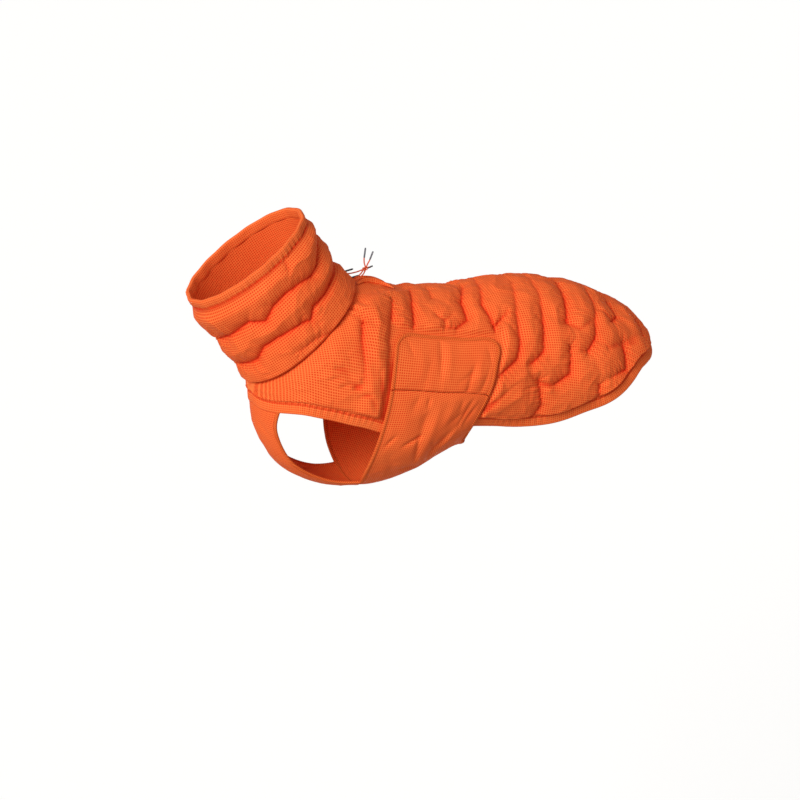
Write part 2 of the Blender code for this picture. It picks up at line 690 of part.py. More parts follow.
COLLAR_ROWS = 16
COLLAR_COLUMNS = 50
RIM_SECTIONS = 56
RIM_WAVES = 16
RIM_WAVE = 0.0007
CASING_STATION = 1 - RIM_HEIGHT / NECK_LENGTH


def build_collar(material):
    """Quilted tube from the neck seam to the rim casing."""
    share = np.linspace(0.0, 1.0, COLLAR_ROWS + 1)
    foot = NECK_SEAM_GAP / NECK_LENGTH
    stations = foot + share * (CASING_STATION - foot)
    angles = np.linspace(math.pi, -math.pi, COLLAR_COLUMNS + 1)
    station, angle = np.meshgrid(stations, angles, indexing="ij")
    height = station * NECK_LENGTH
    around = girth(NECK, station, angle)
    puff = COLLAR_PUFF * (1 - seam_valley(around, height, collar_quilt_lines(), COLLAR_SEAM_REACH))
    seam_fade = 0.007
    rim_fade = 0.017
    casing_foot = CASING_STATION * NECK_LENGTH
    puff *= smoothstep(-0.3 * seam_fade, seam_fade, height)
    puff *= 1 - smoothstep(casing_foot - rim_fade, casing_foot, height)
    outer = skin(NECK, station, angle, PANEL_WALL + puff)
    inner = ring_point(NECK, station[::2, ::2], angle[::2, ::2])
    outer[:, -1] = outer[:, 0]
    return wall_solid("collar", outer, inner, material, COLLAR_ROWS + 1)


def build_collar_casing(material):
    """Plain folded rim with a drawn-in, slightly waved edge."""
    angles = np.linspace(math.pi, -math.pi, RIM_SECTIONS + 1)[:-1]
    middle = (CASING_STATION + 1) / 2
    station = np.full_like(angles, middle)
    outward = ring_normal(NECK, station, angles)
    wave = RIM_WAVE * np.cos(angles * RIM_WAVES)
    centre = skin(NECK, station, angles, PANEL_WALL / 2 + wave)
    probe = 0.02
    away = unit(ring_point(NECK, station + probe, angles) - ring_point(NECK, station - probe, angles))
    foot = ring_point(NECK, np.full_like(angles, CASING_STATION), angles)
    rim = ring_point(NECK, np.ones_like(angles), angles)
    height = np.linalg.norm(rim - foot, axis=-1) - 2 * EDGE_GAP
    section = (height, CASING_THICKNESS, EDGE_SIDES)
    return edge_strip("collar_rim_casing", centre, away, outward, section, material, True)


# ---------------------------------------------------------------- bib, belly band and tabs

BIB_ROWS = 20
BIB_COLUMNS = 10
BAND_ROWS = 10
BAND_COLUMNS = 40
TAB_COLUMNS = 12
TAB_ROWS = (0.0, 0.02, 0.06, 0.13, 0.24, 0.40, 0.58, 0.78, 1.0)      # closer at the round corners
BINDING_SECTIONS = 40
BIB_TOP_LAST = 4.5          # the bib's upper end is looked for up to this station,
BIB_TOP_SAMPLES = 120       # at this many places,
BIB_TOP_START = 0.02        # from this far past the hem's front
BELLY_EDGE_POINTS = 60
TAB_EDGE_POINTS = 14        # places along a tab's straight edge,
TAB_CORNER_POINTS = 12      # and round its corner


def chest_top_station(angle):
    """Station just below the hem casing, for angles near the chest's centre line."""
    stations = np.linspace(CHEST_STATION, BIB_TOP_LAST, BIB_TOP_SAMPLES)
    run = hem_run()
    edge = ring_point(TORSO, run[:, 0], run[:, 1])
    limit = HEM_HEIGHT + 1.5 * EDGE_GAP + 3 * GAP
    below = stations > CHEST_STATION + BIB_TOP_START
    found = np.empty(angle.shape)
    for place in np.ndindex(angle.shape):
        points = ring_point(TORSO, stations, np.full_like(stations, angle[place]))
        clear = np.linalg.norm(points[:, None] - edge[None], axis=-1).min(axis=1)
        past = np.abs(angle[place]) > hem_angle(stations)
        good = np.nonzero(below & past & (clear > limit))[0]
        found[place] = stations[good[0]]
    return found


def band_lift(angle):
    return read_table(BAND_LIFT, np.abs(np.degrees(angle)), "lift")


def under_angle(offset):
    """Angle from the offset to the centre line underneath, positive to the left."""
    return np.where(offset >= 0, math.pi - offset, -math.pi - offset)


def bib_grid():
    """Stations, angles and offsets from the centre line, from the front hem to the belly band."""
    part = np.linspace(0.0, 1.0, BIB_ROWS + 1)
    half = np.radians(read_table(BIB, part, "half_angle"))
    offset = half[:, None] * np.linspace(1.0, -1.0, BIB_COLUMNS + 1)[None, :]
    angle = math.pi - np.abs(offset)
    top = chest_top_station(angle[0])
    front_x = read_table(BAND, np.degrees(angle[-1]), "front_x") - BINDING_WIDTH - 4 * GAP
    end = station_at(front_x, angle[-1])
    station = top[None, :] * (1 - part[:, None]) + end[None, :] * part[:, None]
    return station, angle, offset


def build_chest_bib(material):
    """Plain padded strip from the front hem, down the chest and between the legs to the band."""
    station, angle, offset = bib_grid()
    part = np.linspace(0.0, 1.0, BIB_ROWS + 1)[:, None]
    across = np.linspace(0.0, 1.0, BIB_COLUMNS + 1)[None, :]
    fold = BIB_FOLD * np.cos(offset * BIB_FOLD_WAVES[0] + part * BIB_FOLD_WAVES[1])
    swell = BIB_SWELL * np.sin(math.pi * across)
    side = np.where(offset < 0, -1.0, 1.0)
    inner = ring_point(TORSO, station, angle)
    outer = skin(TORSO, station, angle, BIB_WALL + (fold + swell) * np.sin(math.pi * part))
    inner[..., 1] *= side
    outer[..., 1] *= side
    return wall_solid("chest_bib", outer, inner[::2, ::2], material)


def band_point_grid(angle, share, lift):
    """Points of the belly band or a tab: share 0 is its front edge and 1 its rear edge."""
    side = np.where(angle < 0, -1.0, 1.0)
    even = np.abs(angle)
    front = read_table(BAND, np.degrees(even), "front_x")
    rear = read_table(BAND, np.degrees(even), "rear_x")
    x = front * (1 - share) + rear * share
    points = skin(TORSO, station_at(x, even), even, lift)
    points[..., 1] *= side
    return points


def seam_angle(share):
    return bowed(TAB_SEAM_ANGLES, TAB_SEAM_BOW, share)


def build_belly_band(material):
    """Strip from the left seam, under the belly, to the right seam."""
    share = np.linspace(0.0, 1.0, BAND_ROWS + 1)[:, None]
    turn = np.linspace(-1.0, 1.0, BAND_COLUMNS + 1)[None, :]
    reach = math.pi - seam_angle(share) - SEAM_HALF_ANGLE
    offset = -reach * turn
    angle = under_angle(offset)
    base = band_lift(angle)
    phase = share * BAND_CREASE_WAVES[0] + np.abs(offset) * BAND_CREASE_WAVES[1]
    crease = BAND_CREASE * np.cos(phase)
    inner = band_point_grid(angle, share, base)[::2, ::2]
    outer = band_point_grid(angle, share, base + BAND_WALL + crease * np.sin(math.pi * share))
    return wall_solid("belly_band", outer, inner, material)


def tab_outline(down, share):
    """Share of the width after the rounded upper corners; `down` is metres from the top edge."""
    cut = TAB_CORNER - np.sqrt(np.maximum(TAB_CORNER ** 2 - np.maximum(TAB_CORNER - down, 0) ** 2, 0))
    cut = cut / TAB_WIDTH
    return cut + share * (1 - 2 * cut)


def tab_angle(share, down):
    top = bowed(TAB_TOP_ANGLES, TAB_TOP_BOW, share)
    return top * (1 - down) + (seam_angle(share) - SEAM_HALF_ANGLE) * down


def build_tab(name, side, material):
    """Flap that closes the belly band over the back panel; side is 1 left, -1 right."""
    share = np.linspace(0.0, 1.0, TAB_COLUMNS + 1)[:, None]
    down = np.array(TAB_ROWS)[None, :]
    width_share = tab_outline(down * TAB_DROP, share)
    angle = tab_angle(width_share, down)
    lift = band_lift(angle)
    phase = width_share * TAB_CREASE_WAVES[0] + TAB_CREASE_WAVES[1]
    crease = TAB_CREASE * np.cos(phase) * np.sin(math.pi * down)
    inner = band_point_grid(angle * side, width_share, lift)
    outer = band_point_grid(angle * side, width_share, lift + TAB_WALL + crease)
    return wall_solid(name, outer, inner, material)


def band_binding(name, share, angle, count, material):
    """Corded edge along a run of the band form, given as width shares and signed angles."""
    lift = band_lift(angle) + BAND_WALL / 2 + BINDING_RISE
    probe = 0.001
    edge = band_point_grid(angle, share, lift)
    outward = band_point_grid(angle, share, lift + probe) - edge
    middle = np.sign(angle) * math.radians(112.0)
    towards_middle = 0.05
    nearer_share = 0.9
    inner_angle = angle + towards_middle * (middle - angle)
    inside = band_point_grid(inner_angle, 0.5 + nearer_share * (share - 0.5), lift)
    section = (BINDING_WIDTH, BINDING_THICKNESS, EDGE_SIDES)
    return bound_edge(name, edge, outward, inside, count, section, material)


def build_tab_binding(name, side, material):
    """Up the tab's front edge, over its rounded top and down its rear edge."""
    corner_share = 0.3
    straight = np.linspace(1.0, corner_share, TAB_EDGE_POINTS)
    corner = corner_share * (1 - np.sin(np.linspace(0.0, math.pi / 2, TAB_CORNER_POINTS)))[1:]
    rise = np.concatenate([straight, corner])
    front = tab_outline(rise * TAB_DROP, 0.0)
    rear = tab_outline(rise[::-1] * TAB_DROP, 1.0)
    top = np.linspace(front[-1], rear[0], TAB_EDGE_POINTS)[1:-1]
    share = np.concatenate([front, top, rear])
    down = np.concatenate([rise, np.zeros_like(top), rise[::-1]])
    return band_binding(name, share, tab_angle(share, down) * side, BINDING_SECTIONS, material)


def build_belly_binding(name, share, material):
    """Front (share 0) or rear (share 1) edge of the belly band, from seam to seam underneath."""
    reach = math.pi - seam_angle(share) - 2 * SEAM_HALF_ANGLE
    offset = np.linspace(reach, -reach, BELLY_EDGE_POINTS)
    shares = np.full_like(offset, float(share))
    return band_binding(name, shares, under_angle(offset), BINDING_SECTIONS, material)


def build_bib_binding(name, side, material):
    """Corded side edge of the chest bib."""
    station, angle, _ = bib_grid()
    station, angle = station[:, 0], angle[:, 0]
    outward = ring_normal(TORSO, station, angle)
    edge = ring_point(TORSO, station, angle) + outward * (BIB_WALL / 2 + BINDING_RISE)
    nearer = 0.06
    inside = ring_point(TORSO, station, angle + nearer)
    mirror = np.array((1.0, side, 1.0))
    section = (BIB_BINDING_WIDTH, BINDING_THICKNESS, EDGE_SIDES)
    count = BIB_ROWS + 2
    return bound_edge(name, edge * mirror, outward * mirror, inside * mirror, count, section, material)


# ---------------------------------------------------------------- slit lips and drawcords

def build_lip(name, side, material):
    """Raised lip of the leash slit, laid along the panel behind the collar."""
    x = np.linspace(LIP[0].x, LIP[-1].x, LIP_SECTIONS)
    angle = np.radians(read_table(LIP, x, "angle")) * side
    rise = np.maximum(read_table(LIP, x, "rise"), 0.0)
    station = station_at(x, angle)
    outward = ring_normal(TORSO, station, angle)
    foot = PANEL_WALL + YOKE_PUFF + 1.5 * GAP
    height = LIP_WIDTH + rise
    centre = skin(TORSO, station, angle, foot + height / 2)
    away = unit(np.cross(np.gradient(centre, axis=0), outward))
    return edge_strip(name, centre, away, outward, (LIP_WIDTH, height, LIP_SIDES), material, False)


def build_cord(name, route, diameter, material):
    """Round cord or sleeve through a few places, as a bevelled curve."""
    places = np.array(route)
    length = np.concatenate([[0.0], np.cumsum(np.linalg.norm(np.diff(places, axis=0), axis=1))])
    count = max(2, int(round(length[-1] / (CORD_STEP * diameter))) + 1)
    if len(places) == 2:
        count = 2
    at = np.linspace(0.0, length[-1], count)
    Route = namedtuple("Route", "at x y z")
    rows = [Route(run, *place) for run, place in zip(length, places)]
    points = np.stack([read_table(rows, at, axis) for axis in "xyz"], -1)
    curve = bpy.data.curves.new(name, "CURVE")
    curve.dimensions = "3D"
    curve.bevel_depth = diameter / 2
    curve.bevel_resolution = 2
    curve.use_fill_caps = True
    line = curve.splines.new("POLY")
    line.points.add(count - 1)
    for point, place in zip(line.points, points):
        point.co = (*place, 1.0)
    curve.materials.append(material)
    cord = bpy.data.objects.new(name, curve)
    coat_collection().objects.link(cord)
    return cord


def build_knot(material):
    """Plain egg that stands for the overhand knot."""
    mesh = bpy.data.meshes.new("drawcord_knot")
    body = bmesh.new()
    bmesh.ops.create_uvsphere(body, u_segments=KNOT_SEGMENTS, v_segments=KNOT_RINGS, radius=1.0)
    bmesh.ops.scale(body, vec=KNOT_RADII, verts=body.verts)
    body.to_mesh(mesh)
    body.free()
    mesh.shade_smooth()
    mesh.materials.append(material)
    knot = bpy.data.objects.new("drawcord_knot", mesh)
    knot.location = KNOT
    coat_collection().objects.link(knot)
    return knot


# ---------------------------------------------------------------- scene

COLLECTION = "dog_winter_coat"


def coat_collection():
    return bpy.data.collections[COLLECTION]


def make_material(name, colour, roughness, metallic=0.0):
    material = bpy.data.materials.new(name)
    material.use_nodes = True
    shader = material.node_tree.nodes["Principled BSDF"]
    shader.inputs["Base Color"].default_value = (*colour, 1.0)
    shader.inputs["Roughness"].default_value = roughness
    shader.inputs["Metallic"].default_value = metallic
    return material


def main():
    for old in list(bpy.data.objects):
        bpy.data.objects.remove(old, do_unlink=True)
    collection = bpy.data.collections.new(COLLECTION)
    bpy.context.scene.collection.children.link(collection)
    shell = make_material("ripstop_shell", ORANGE, SHELL_ROUGHNESS)
    trim = make_material("edge_trim", SEAM_ORANGE, TRIM_ROUGHNESS)
    build_back_panel(shell)
    build_hem_casing(trim)
    build_collar(shell)
    build_collar_casing(trim)
    build_chest_bib(shell)
    build_belly_band(shell)
    build_tab("left_closure_tab", 1, shell)
    build_tab("right_closure_tab", -1, shell)
    build_tab_binding("left_tab_binding", 1, trim)
    build_tab_binding("right_tab_binding", -1, trim)
    build_belly_binding("belly_front_binding", 0, trim)
    build_belly_binding("belly_rear_binding", 1, trim)
    build_bib_binding("left_bib_binding", 1, trim)
    build_bib_binding("right_bib_binding", -1, trim)
    build_lip("left_slit_lip", 1, trim)
    build_lip("right_slit_lip", -1, trim)
    cord = make_material("elastic_cord", CORD_ORANGE, TRIM_ROUGHNESS)
    sleeve = make_material("grey_cord_tip", TIP_GREY, TIP_ROUGHNESS)
    barb = make_material("black_cord_barb", BARB_BLACK, TIP_ROUGHNESS)
    build_cord("drawcord_near", NEAR_CORD, CORD, cord)
    build_cord("drawcord_far", FAR_CORD, CORD, cord)
    build_cord("drawcord_shade", SHADE_CORD, CORD, cord)
    build_knot(cord)
    build_cord("drawcord_tall_end", TALL_END, CORD, cord)
    build_cord("drawcord_leaning_end", LEANING_END, CORD, cord)
    build_cord("tall_tip", TALL_TIP, TIP, sleeve)
    build_cord("leaning_tip", LEANING_TIP, TIP, sleeve)
    build_cord("short_tip", SHORT_TIP, CORD, barb)
    build_cord("near_barb", NEAR_BARB, TIP, barb)
    build_cord("far_barb", FAR_BARB, TIP, barb)


main()
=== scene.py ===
"""Quilted winter coat for a dog, with its looks: the seams, puckers, folds, weave, stitches and cords.

The coat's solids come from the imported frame.  Every cloth piece here is a surface worked out
on a grid from two hollow forms, the torso and the neck.  Each form is a run of rings: a ring
starts at the back (angle 0), goes down the coat's left side (angles above 0) and right side
(angles below 0), and closes underneath.  Metres, +Z up, +X to the tail, -Y to the left side.
"""
from collections import namedtuple
import math

import bpy
import numpy as np
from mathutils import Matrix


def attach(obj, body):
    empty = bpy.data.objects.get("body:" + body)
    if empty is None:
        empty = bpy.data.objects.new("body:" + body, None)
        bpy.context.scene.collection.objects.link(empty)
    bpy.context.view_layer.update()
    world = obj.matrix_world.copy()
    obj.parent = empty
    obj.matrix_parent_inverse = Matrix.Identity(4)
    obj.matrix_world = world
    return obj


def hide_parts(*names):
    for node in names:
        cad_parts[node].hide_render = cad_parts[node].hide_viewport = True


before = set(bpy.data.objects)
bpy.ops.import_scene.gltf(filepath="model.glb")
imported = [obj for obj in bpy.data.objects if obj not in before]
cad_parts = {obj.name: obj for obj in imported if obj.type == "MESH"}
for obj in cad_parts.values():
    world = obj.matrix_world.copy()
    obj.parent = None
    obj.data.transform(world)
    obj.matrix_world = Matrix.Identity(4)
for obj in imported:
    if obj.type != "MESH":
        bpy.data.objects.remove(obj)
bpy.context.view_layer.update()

bl_info = {
    "name": "Dog winter coat",
    "version": (1, 0, 0),
    "blender": (4, 5, 0),
    "location": "View3D > Sidebar > Coat",
    "description": "Builds the cloth, seams, trims and cords of a quilted dog coat",
    "category": "Add Mesh",
}


def table(columns, *rows):
    """Short table of numbers: its rows in order, with a name for each column."""
    named_row = namedtuple("named_row", columns)
    return tuple(named_row(*row) for row in rows)


# ---------------------------------------------------------------- sizes shared with the solids

# lengths in metres; angles in degrees where a comment doesn't say otherwise
GAP = 0.0004
EDGE_GAP = 0.0008
NECK_SEAM_GAP = 0.0012
PANEL_WALL = 0.0025
YOKE_PUFF = 0.0022
BIB_WALL = 0.0030
BIB_SWELL = 0.0025
BAND_WALL = 0.0030
TAB_WALL = 0.0030
RIM_HEIGHT = 0.0130
HEM_HEIGHT = 0.0155
CASING_THICKNESS = 0.0052
BINDING_WIDTH = 0.0056
BINDING_THICKNESS = 0.0040
BIB_BINDING_WIDTH = 0.0050
BINDING_RISE = 0.0002
YOKE_FRONT_X = -0.1820      # in front of this the cloth is the plain yoke,
YOKE_TONGUE = 0.1070        # which reaches this much further back along the spine
YOKE_TONGUE_GIRTH = 0.0500
HEM_HANG = 0.55             # behind the belly band the hem hangs this share of the way to upright
TAIL_NOTCH = 0.55           # stations that the rear edge is pulled forward on the spine,
TAIL_NOTCH_ANGLE = 0.40     # over about this many radians to each side
TAIL_NOTCH_RUN = 3          # and over this many stations before it
TAB_CORNER = 0.018          # radius of a closure tab's rounded upper corners
TAB_WIDTH = 0.138
TAB_DROP = 0.066
SEAM_HALF_ANGLE = 0.0035    # radians
TAB_TOP_ANGLES = (53.5, 59.0)
TAB_SEAM_ANGLES = (85.0, 96.0)
TAB_TOP_BOW = 3.6           # degrees that the top edge's middle rises above a run of even angles
TAB_SEAM_BOW = 6.2          # the same for the seam
CORD = 0.0018               # diameters of the drawcord and of its sleeves
TIP = 0.0024
NECK_LENGTH = 0.131
RING_FULLNESS = 0.92

RING = "station top_x top_z low_x low_z half_width widest"
TORSO = table(
    RING,
    (0, -0.160, 0.021, -0.292, -0.095, 0.079, 0.50),
    (1, -0.134, 0.019, -0.291, -0.110, 0.091, 0.50),
    (2, -0.108, 0.013, -0.290, -0.129, 0.099, 0.50),
    (3, -0.083, 0.005, -0.283, -0.167, 0.104, 0.50),
    (4, -0.057, 0.002, -0.255, -0.213, 0.107, 0.49),
    (5, -0.028, 0.000, -0.205, -0.242, 0.109, 0.48),
    (6, 0.002, 0.000, -0.150, -0.250, 0.110, 0.48),
    (7, 0.033, 0.003, -0.093, -0.238, 0.109, 0.48),
    (8, 0.066, 0.004, -0.033, -0.212, 0.106, 0.49),
    (9, 0.100, 0.003, 0.030, -0.204, 0.102, 0.54),
    (10, 0.135, -0.002, 0.092, -0.212, 0.100, 0.53),
    (11, 0.168, -0.010, 0.145, -0.213, 0.098, 0.51),
    (12, 0.198, -0.022, 0.183, -0.221, 0.096, 0.50),
    (13, 0.224, -0.036, 0.194, -0.226, 0.093, 0.50),
    (14, 0.250, -0.052, 0.184, -0.221, 0.090, 0.50),
    (15, 0.274, -0.080, 0.156, -0.209, 0.088, 0.50),
)
LAST_STATION = TORSO[-1].station

NECK = table(
    RING,
    (0.00, -0.1612, 0.0220, -0.2930, -0.0938, 0.0790, 0.50),
    (0.25, -0.1825, 0.0480, -0.3110, -0.0660, 0.0800, 0.50),
    (0.50, -0.2015, 0.0755, -0.3300, -0.0380, 0.0795, 0.50),
    (0.75, -0.2165, 0.1020, -0.3545, -0.0085, 0.0780, 0.50),
    (1.00, -0.2300, 0.1280, -0.3770, 0.0235, 0.0760, 0.50),
)
CASING_STATION = 1 - RIM_HEIGHT / NECK_LENGTH

HEM = table(
    "station angle",
    (1.10, 180.0),
    (1.63, 155.0),
    (2.30, 129.5),
    (3.15, 112.3),
    (4.00, 103.8),
    (5.00, 103.0),
    (6.20, 103.0),
    (7.60, 112.0),
    (8.20, 117.5),
    (9.00, 120.3),
    (10.00, 115.8),
    (10.85, 109.3),
    (11.40, 103.7),
    (12.00, 95.3),
    (12.70, 84.5),
    (13.40, 73.0),
    (14.00, 61.5),
    (14.50, 49.5),
    (14.80, 37.0),
    (15.00, 19.0),
)
CHEST_STATION = HEM[0].station

BAND = table(
    "angle front_x rear_x",
    (50.0, -0.117, 0.0165),
    (62.0, -0.124, 0.0170),
    (74.0, -0.130, 0.0095),
    (90.0, -0.137, 0.0010),
    (101.0, -0.143, -0.0085),
    (110.0, -0.148, -0.0178),
    (120.0, -0.153, -0.0240),
    (135.0, -0.157, -0.0240),
    (155.0, -0.156, -0.0140),
    (180.0, -0.155, -0.0070),
)

BAND_LIFT = table(
    "angle lift",
    (50.0, 0.0052),
    (100.0, 0.0052),
    (119.0, 0.0052),
    (129.0, 0.0030),
    (142.0, 0.0004),
    (180.0, 0.0000),
)

BIB = table(
    "part half_angle",
    (0.00, 31.0),
    (0.15, 24.0),
    (0.35, 19.5),
    (0.60, 18.0),
    (0.80, 19.0),
    (1.00, 23.0),
)

LIP = table(
    "x angle rise",
    (-0.151, 10.5, 0.0000),
    (-0.143, 6.2, 0.0012),
    (-0.133, 3.6, 0.0026),
    (-0.122, 3.4, 0.0028),
    (-0.111, 5.0, 0.0014),
    (-0.101, 8.5, 0.0000),
)
LIP_WIDTH = 0.0046

KNOT = (-0.1340, -0.0020, 0.0420)
KNOT_RADII = (0.0034, 0.0031, 0.0038)
NEAR_BARB = ((-0.1584, -0.0145, 0.0346), (-0.1465, -0.0120, 0.0362))
FAR_BARB = ((-0.1594, 0.0137, 0.0370), (-0.1460, 0.0110, 0.0405))
NEAR_CORD = ((-0.1458, -0.0119, 0.0364), (-0.1420, -0.0085, 0.0382), (-0.1371, -0.0041, 0.0411))
FAR_CORD = ((-0.1584, 0.0099, 0.0348), (-0.1495, 0.0085, 0.0354), (-0.1435, 0.0045, 0.0375),
            (-0.1373, -0.0004, 0.0408))
SHADE_CORD = ((-0.1592, -0.0192, 0.0323), (-0.1500, -0.0170, 0.0327), (-0.1420, -0.0105, 0.0350),
              (-0.1354, -0.0038, 0.0387))
TALL_END = ((-0.1344, -0.0016, 0.04612), (-0.1347, -0.0008, 0.0510), (-0.1345, 0.0, 0.0560))
LEANING_END = ((-0.13206, -0.00253, 0.04553), (-0.1300, -0.0030, 0.0500), (-0.1280, -0.0034, 0.0536))
TALL_TIP = ((-0.13443, 0.0, 0.0564), (-0.1320, 0.0010, 0.0705))
LEANING_TIP = ((-0.12785, -0.0035, 0.05395), (-0.1230, -0.0040, 0.0660))
SHORT_TIP = ((-0.13031, -0.0020, 0.04292), (-0.1228, -0.0022, 0.0456))

# ---------------------------------------------------------------- seams and folds, millimetres

SEAM = "x girth depth"
COLLAR_SEAM = "girth height depth"
FOLD = "x girth to_x to_girth width depth"

# back panel quilting on the left side: each seam runs down through its points; x along the
# coat, girth down from the spine, depth 1 where it is sewn right through
PANEL_SEAMS = {
    "front": table(SEAM, (-168, 101, 0.9), (-173, 133, 1.0), (-175, 188, 0.4)),
    "a": table(SEAM, (-117, 54, 0.6), (-127, 92, 1.0), (-134, 123, 1.0), (-135, 156, 0.8)),
    "b": table(SEAM, (-74, 6, 0.5), (-87, 56, 0.9), (-97, 101, 1.0)),
    "b2": table(SEAM, (-48, 6, 0.3), (-53, 38, 0.45)),
    "c": table(SEAM, (6, 4, 0.6), (-13, 48, 1.0), (-15, 80, 1.0), (-34, 93, 0.8), (-55, 91, 0.4)),
    "c low": table(SEAM, (-36, 94, 0.5), (-38, 108, 0.5)),
    "d": table(SEAM, (34, -24, 0.3), (24, 26, 0.5), (13, 60, 0.95), (19, 97, 1.0), (18, 118, 0.8)),
    "d hook": table(SEAM, (19, 98, 1.0), (42, 80, 0.5)),
    "e": table(SEAM, (71, 20, 0.3), (54, 84, 0.7), (50, 128, 1.0), (44, 146, 1.0), (15, 170, 1.0)),
    "f": table(SEAM, (102, -12, 0.2), (97, 58, 0.5), (92, 92, 1.0), (85, 133, 1.0), (65, 150, 0.9)),
    "g": table(SEAM, (142, 4, 0.6), (137, 48, 1.0), (128, 90, 1.0)),
    "h": table(SEAM, (126, 122, 0.8), (123, 158, 1.0), (101, 173, 0.9)),
    "i": table(SEAM, (180, -4, 0.25), (176, 62, 0.6), (166, 106, 1.0), (152, 126, 0.9)),
    "j": table(SEAM, (207, 16, 0.8), (211, 58, 1.0), (199, 72, 0.8)),
    "k": table(SEAM, (211, 97, 1.0), (209, 130, 1.0), (186, 150, 0.5)),
    "l": table(SEAM, (168, 166, 0.8), (166, 220, 0.7)),
    "m": table(SEAM, (76, 170, 1.0), (82, 205, 0.9), (70, 228, 0.7)),
    "n": table(SEAM, (247, 20, 0.9), (251, 42, 1.0), (246, 66, 0.5)),
}
# the right side takes the same seams, starting this far down from the spine
FAR_SIDE_START = 16

# quilting lines round the collar on its left side, girth from the nape, height from its seam
COLLAR_SEAMS = {
    "upper": table(
        COLLAR_SEAM, (-30, 88, 0.8), (2, 93, 1.0), (40, 88, 1.0), (68, 74, 1.0),
        (85, 72, 1.0), (104, 79, 0.9), (127, 83, 1.0), (149, 82, 1.0), (168, 73, 1.0), (188, 84, 1.0),
        (220, 79, 1.0), (256, 74, 0.9)),
    "lower": table(
        COLLAR_SEAM, (-30, 37, 0.8), (20, 44, 1.0), (52, 42, 1.0), (83, 40, 1.0),
        (108, 43, 1.0), (121, 34, 1.0), (133, 40, 1.0), (169, 46, 1.0), (191, 46, 1.0), (212, 34, 1.0),
        (256, 31, 0.9)),
    "low tuck": table(COLLAR_SEAM, (114, 4, 0.45), (134, 13, 0.5), (156, 15, 0.35)),
    "rim tuck": table(COLLAR_SEAM, (104, 119, 0.6), (108, 106, 0.4)),
}
# its right side repeats the stretches that lie further round from the nape than this
FAR_COLLAR_START = 60

# soft folds: a trough along a short line (a ridge where depth is below 0), over x and girth
PANEL_FOLDS = table(
    FOLD,
    (-166, 52, -158, 74, 4.0, 2.0), (-168, 93, -160, 84, 3.4, 2.2), (-160, 97, -150, 108, 4.5, 1.8),
    (-181, 71, -167, 84, 2.8, 2.6), (-177, 64, -165, 76, 3.0, -1.6), (-181, 84, -169, 94, 2.6, 2.2),
    (-170, 58, -176, 74, 2.8, 1.8), (-152, 70, -146, 96, 6.0, -1.4), (-160, 76, -158, 108, 6.0, -1.2),
    (-216, 186, -196, 180, 4.5, 1.7), (-201, 182, -178, 204, 6.5, 2.2),
    (-214, 203, -196, 212, 6.5, -1.8), (-192, 192, -176, 184, 5.0, -2.0),
    (-168, 206, -160, 220, 4.5, 2.4), (-220, 204, -205, 196, 3.0, 1.9),
    (-207, 209, -192, 198, 2.8, 2.3), (-197, 200, -186, 209, 3.0, -1.9),
    (-191, 205, -176, 193, 3.2, 2.3), (-180, 210, -166, 202, 2.8, 2.0),
    (-228, 212, -213, 217, 3.2, 1.4), (-170, 188, -161, 204, 3.8, -1.8),
    (-174, 190, -184, 180, 3.4, 1.6), (-200, 190, -212, 184, 3.4, 1.2),
    (-156, 120, -158, 178, 7.0, -2.0), (-155, 165, -148, 222, 6.0, 3.2),
    (-178, 112, -182, 180, 10.0, 1.9), (-206, 120, -214, 178, 14.0, -1.3),
    (-148, 84, -150, 112, 7.0, -1.6), (-138, 150, -136, 186, 8.0, 1.8),
    (-240, 170, -222, 214, 9.0, 0.9), (-262, 190, -246, 224, 8.0, -0.8), (41, 176, -6, 218, 4.2, 2.6),
    (54, 186, 14, 214, 5.5, -2.0), (8, 203, -10, 224, 3.6, 2.4), (52, 164, 26, 186, 4.5, -1.6),
    (0, 226, 60, 219, 5.0, 1.6), (74, 212, 96, 232, 5.0, 1.2), (72, 174, 58, 158, 3.4, 2.4),
    (72, 174, 96, 176, 3.6, 2.0), (70, 178, 52, 184, 3.2, 1.7), (128, 90, 142, 99, 4.5, 2.6),
    (143, 99, 170, 80, 5.0, 2.4), (128, 91, 98, 84, 6.0, 1.7), (206, 70, 180, 62, 5.0, 2.5),
    (210, 97, 178, 118, 5.5, 2.6), (211, 96, 240, 70, 6.0, 2.2), (152, 127, 128, 123, 5.0, 2.0),
    (66, 150, 48, 150, 4.5, 2.0), (-72, 88, -96, 99, 5.5, 1.7), (-50, 82, -62, 70, 3.2, 2.2),
    (-50, 82, -34, 72, 3.4, 2.2), (-50, 83, -52, 100, 3.2, 2.0), (-14, 80, -2, 72, 3.2, 2.2),
    (19, 101, 33, 90, 3.0, 2.2), (33, 90, 34, 74, 3.6, 1.6), (48, 112, 40, 98, 3.4, 1.7),
    (92, 92, 80, 84, 3.4, 1.8), (137, 48, 124, 40, 3.4, 1.7), (166, 106, 180, 112, 3.2, 1.6),
    (168, 146, 156, 140, 3.4, 1.6), (251, 42, 240, 52, 3.4, 1.8), (254, 18, 264, 30, 3.2, 2.6),
    (236, 84, 214, 96, 4.0, 1.3), (186, 150, 168, 165, 5.0, 1.8), (101, 173, 80, 176, 4.5, 2.0),
    (20, 120, 44, 140, 4.0, 1.2), (110, 196, 150, 206, 9.0, 0.9),
)
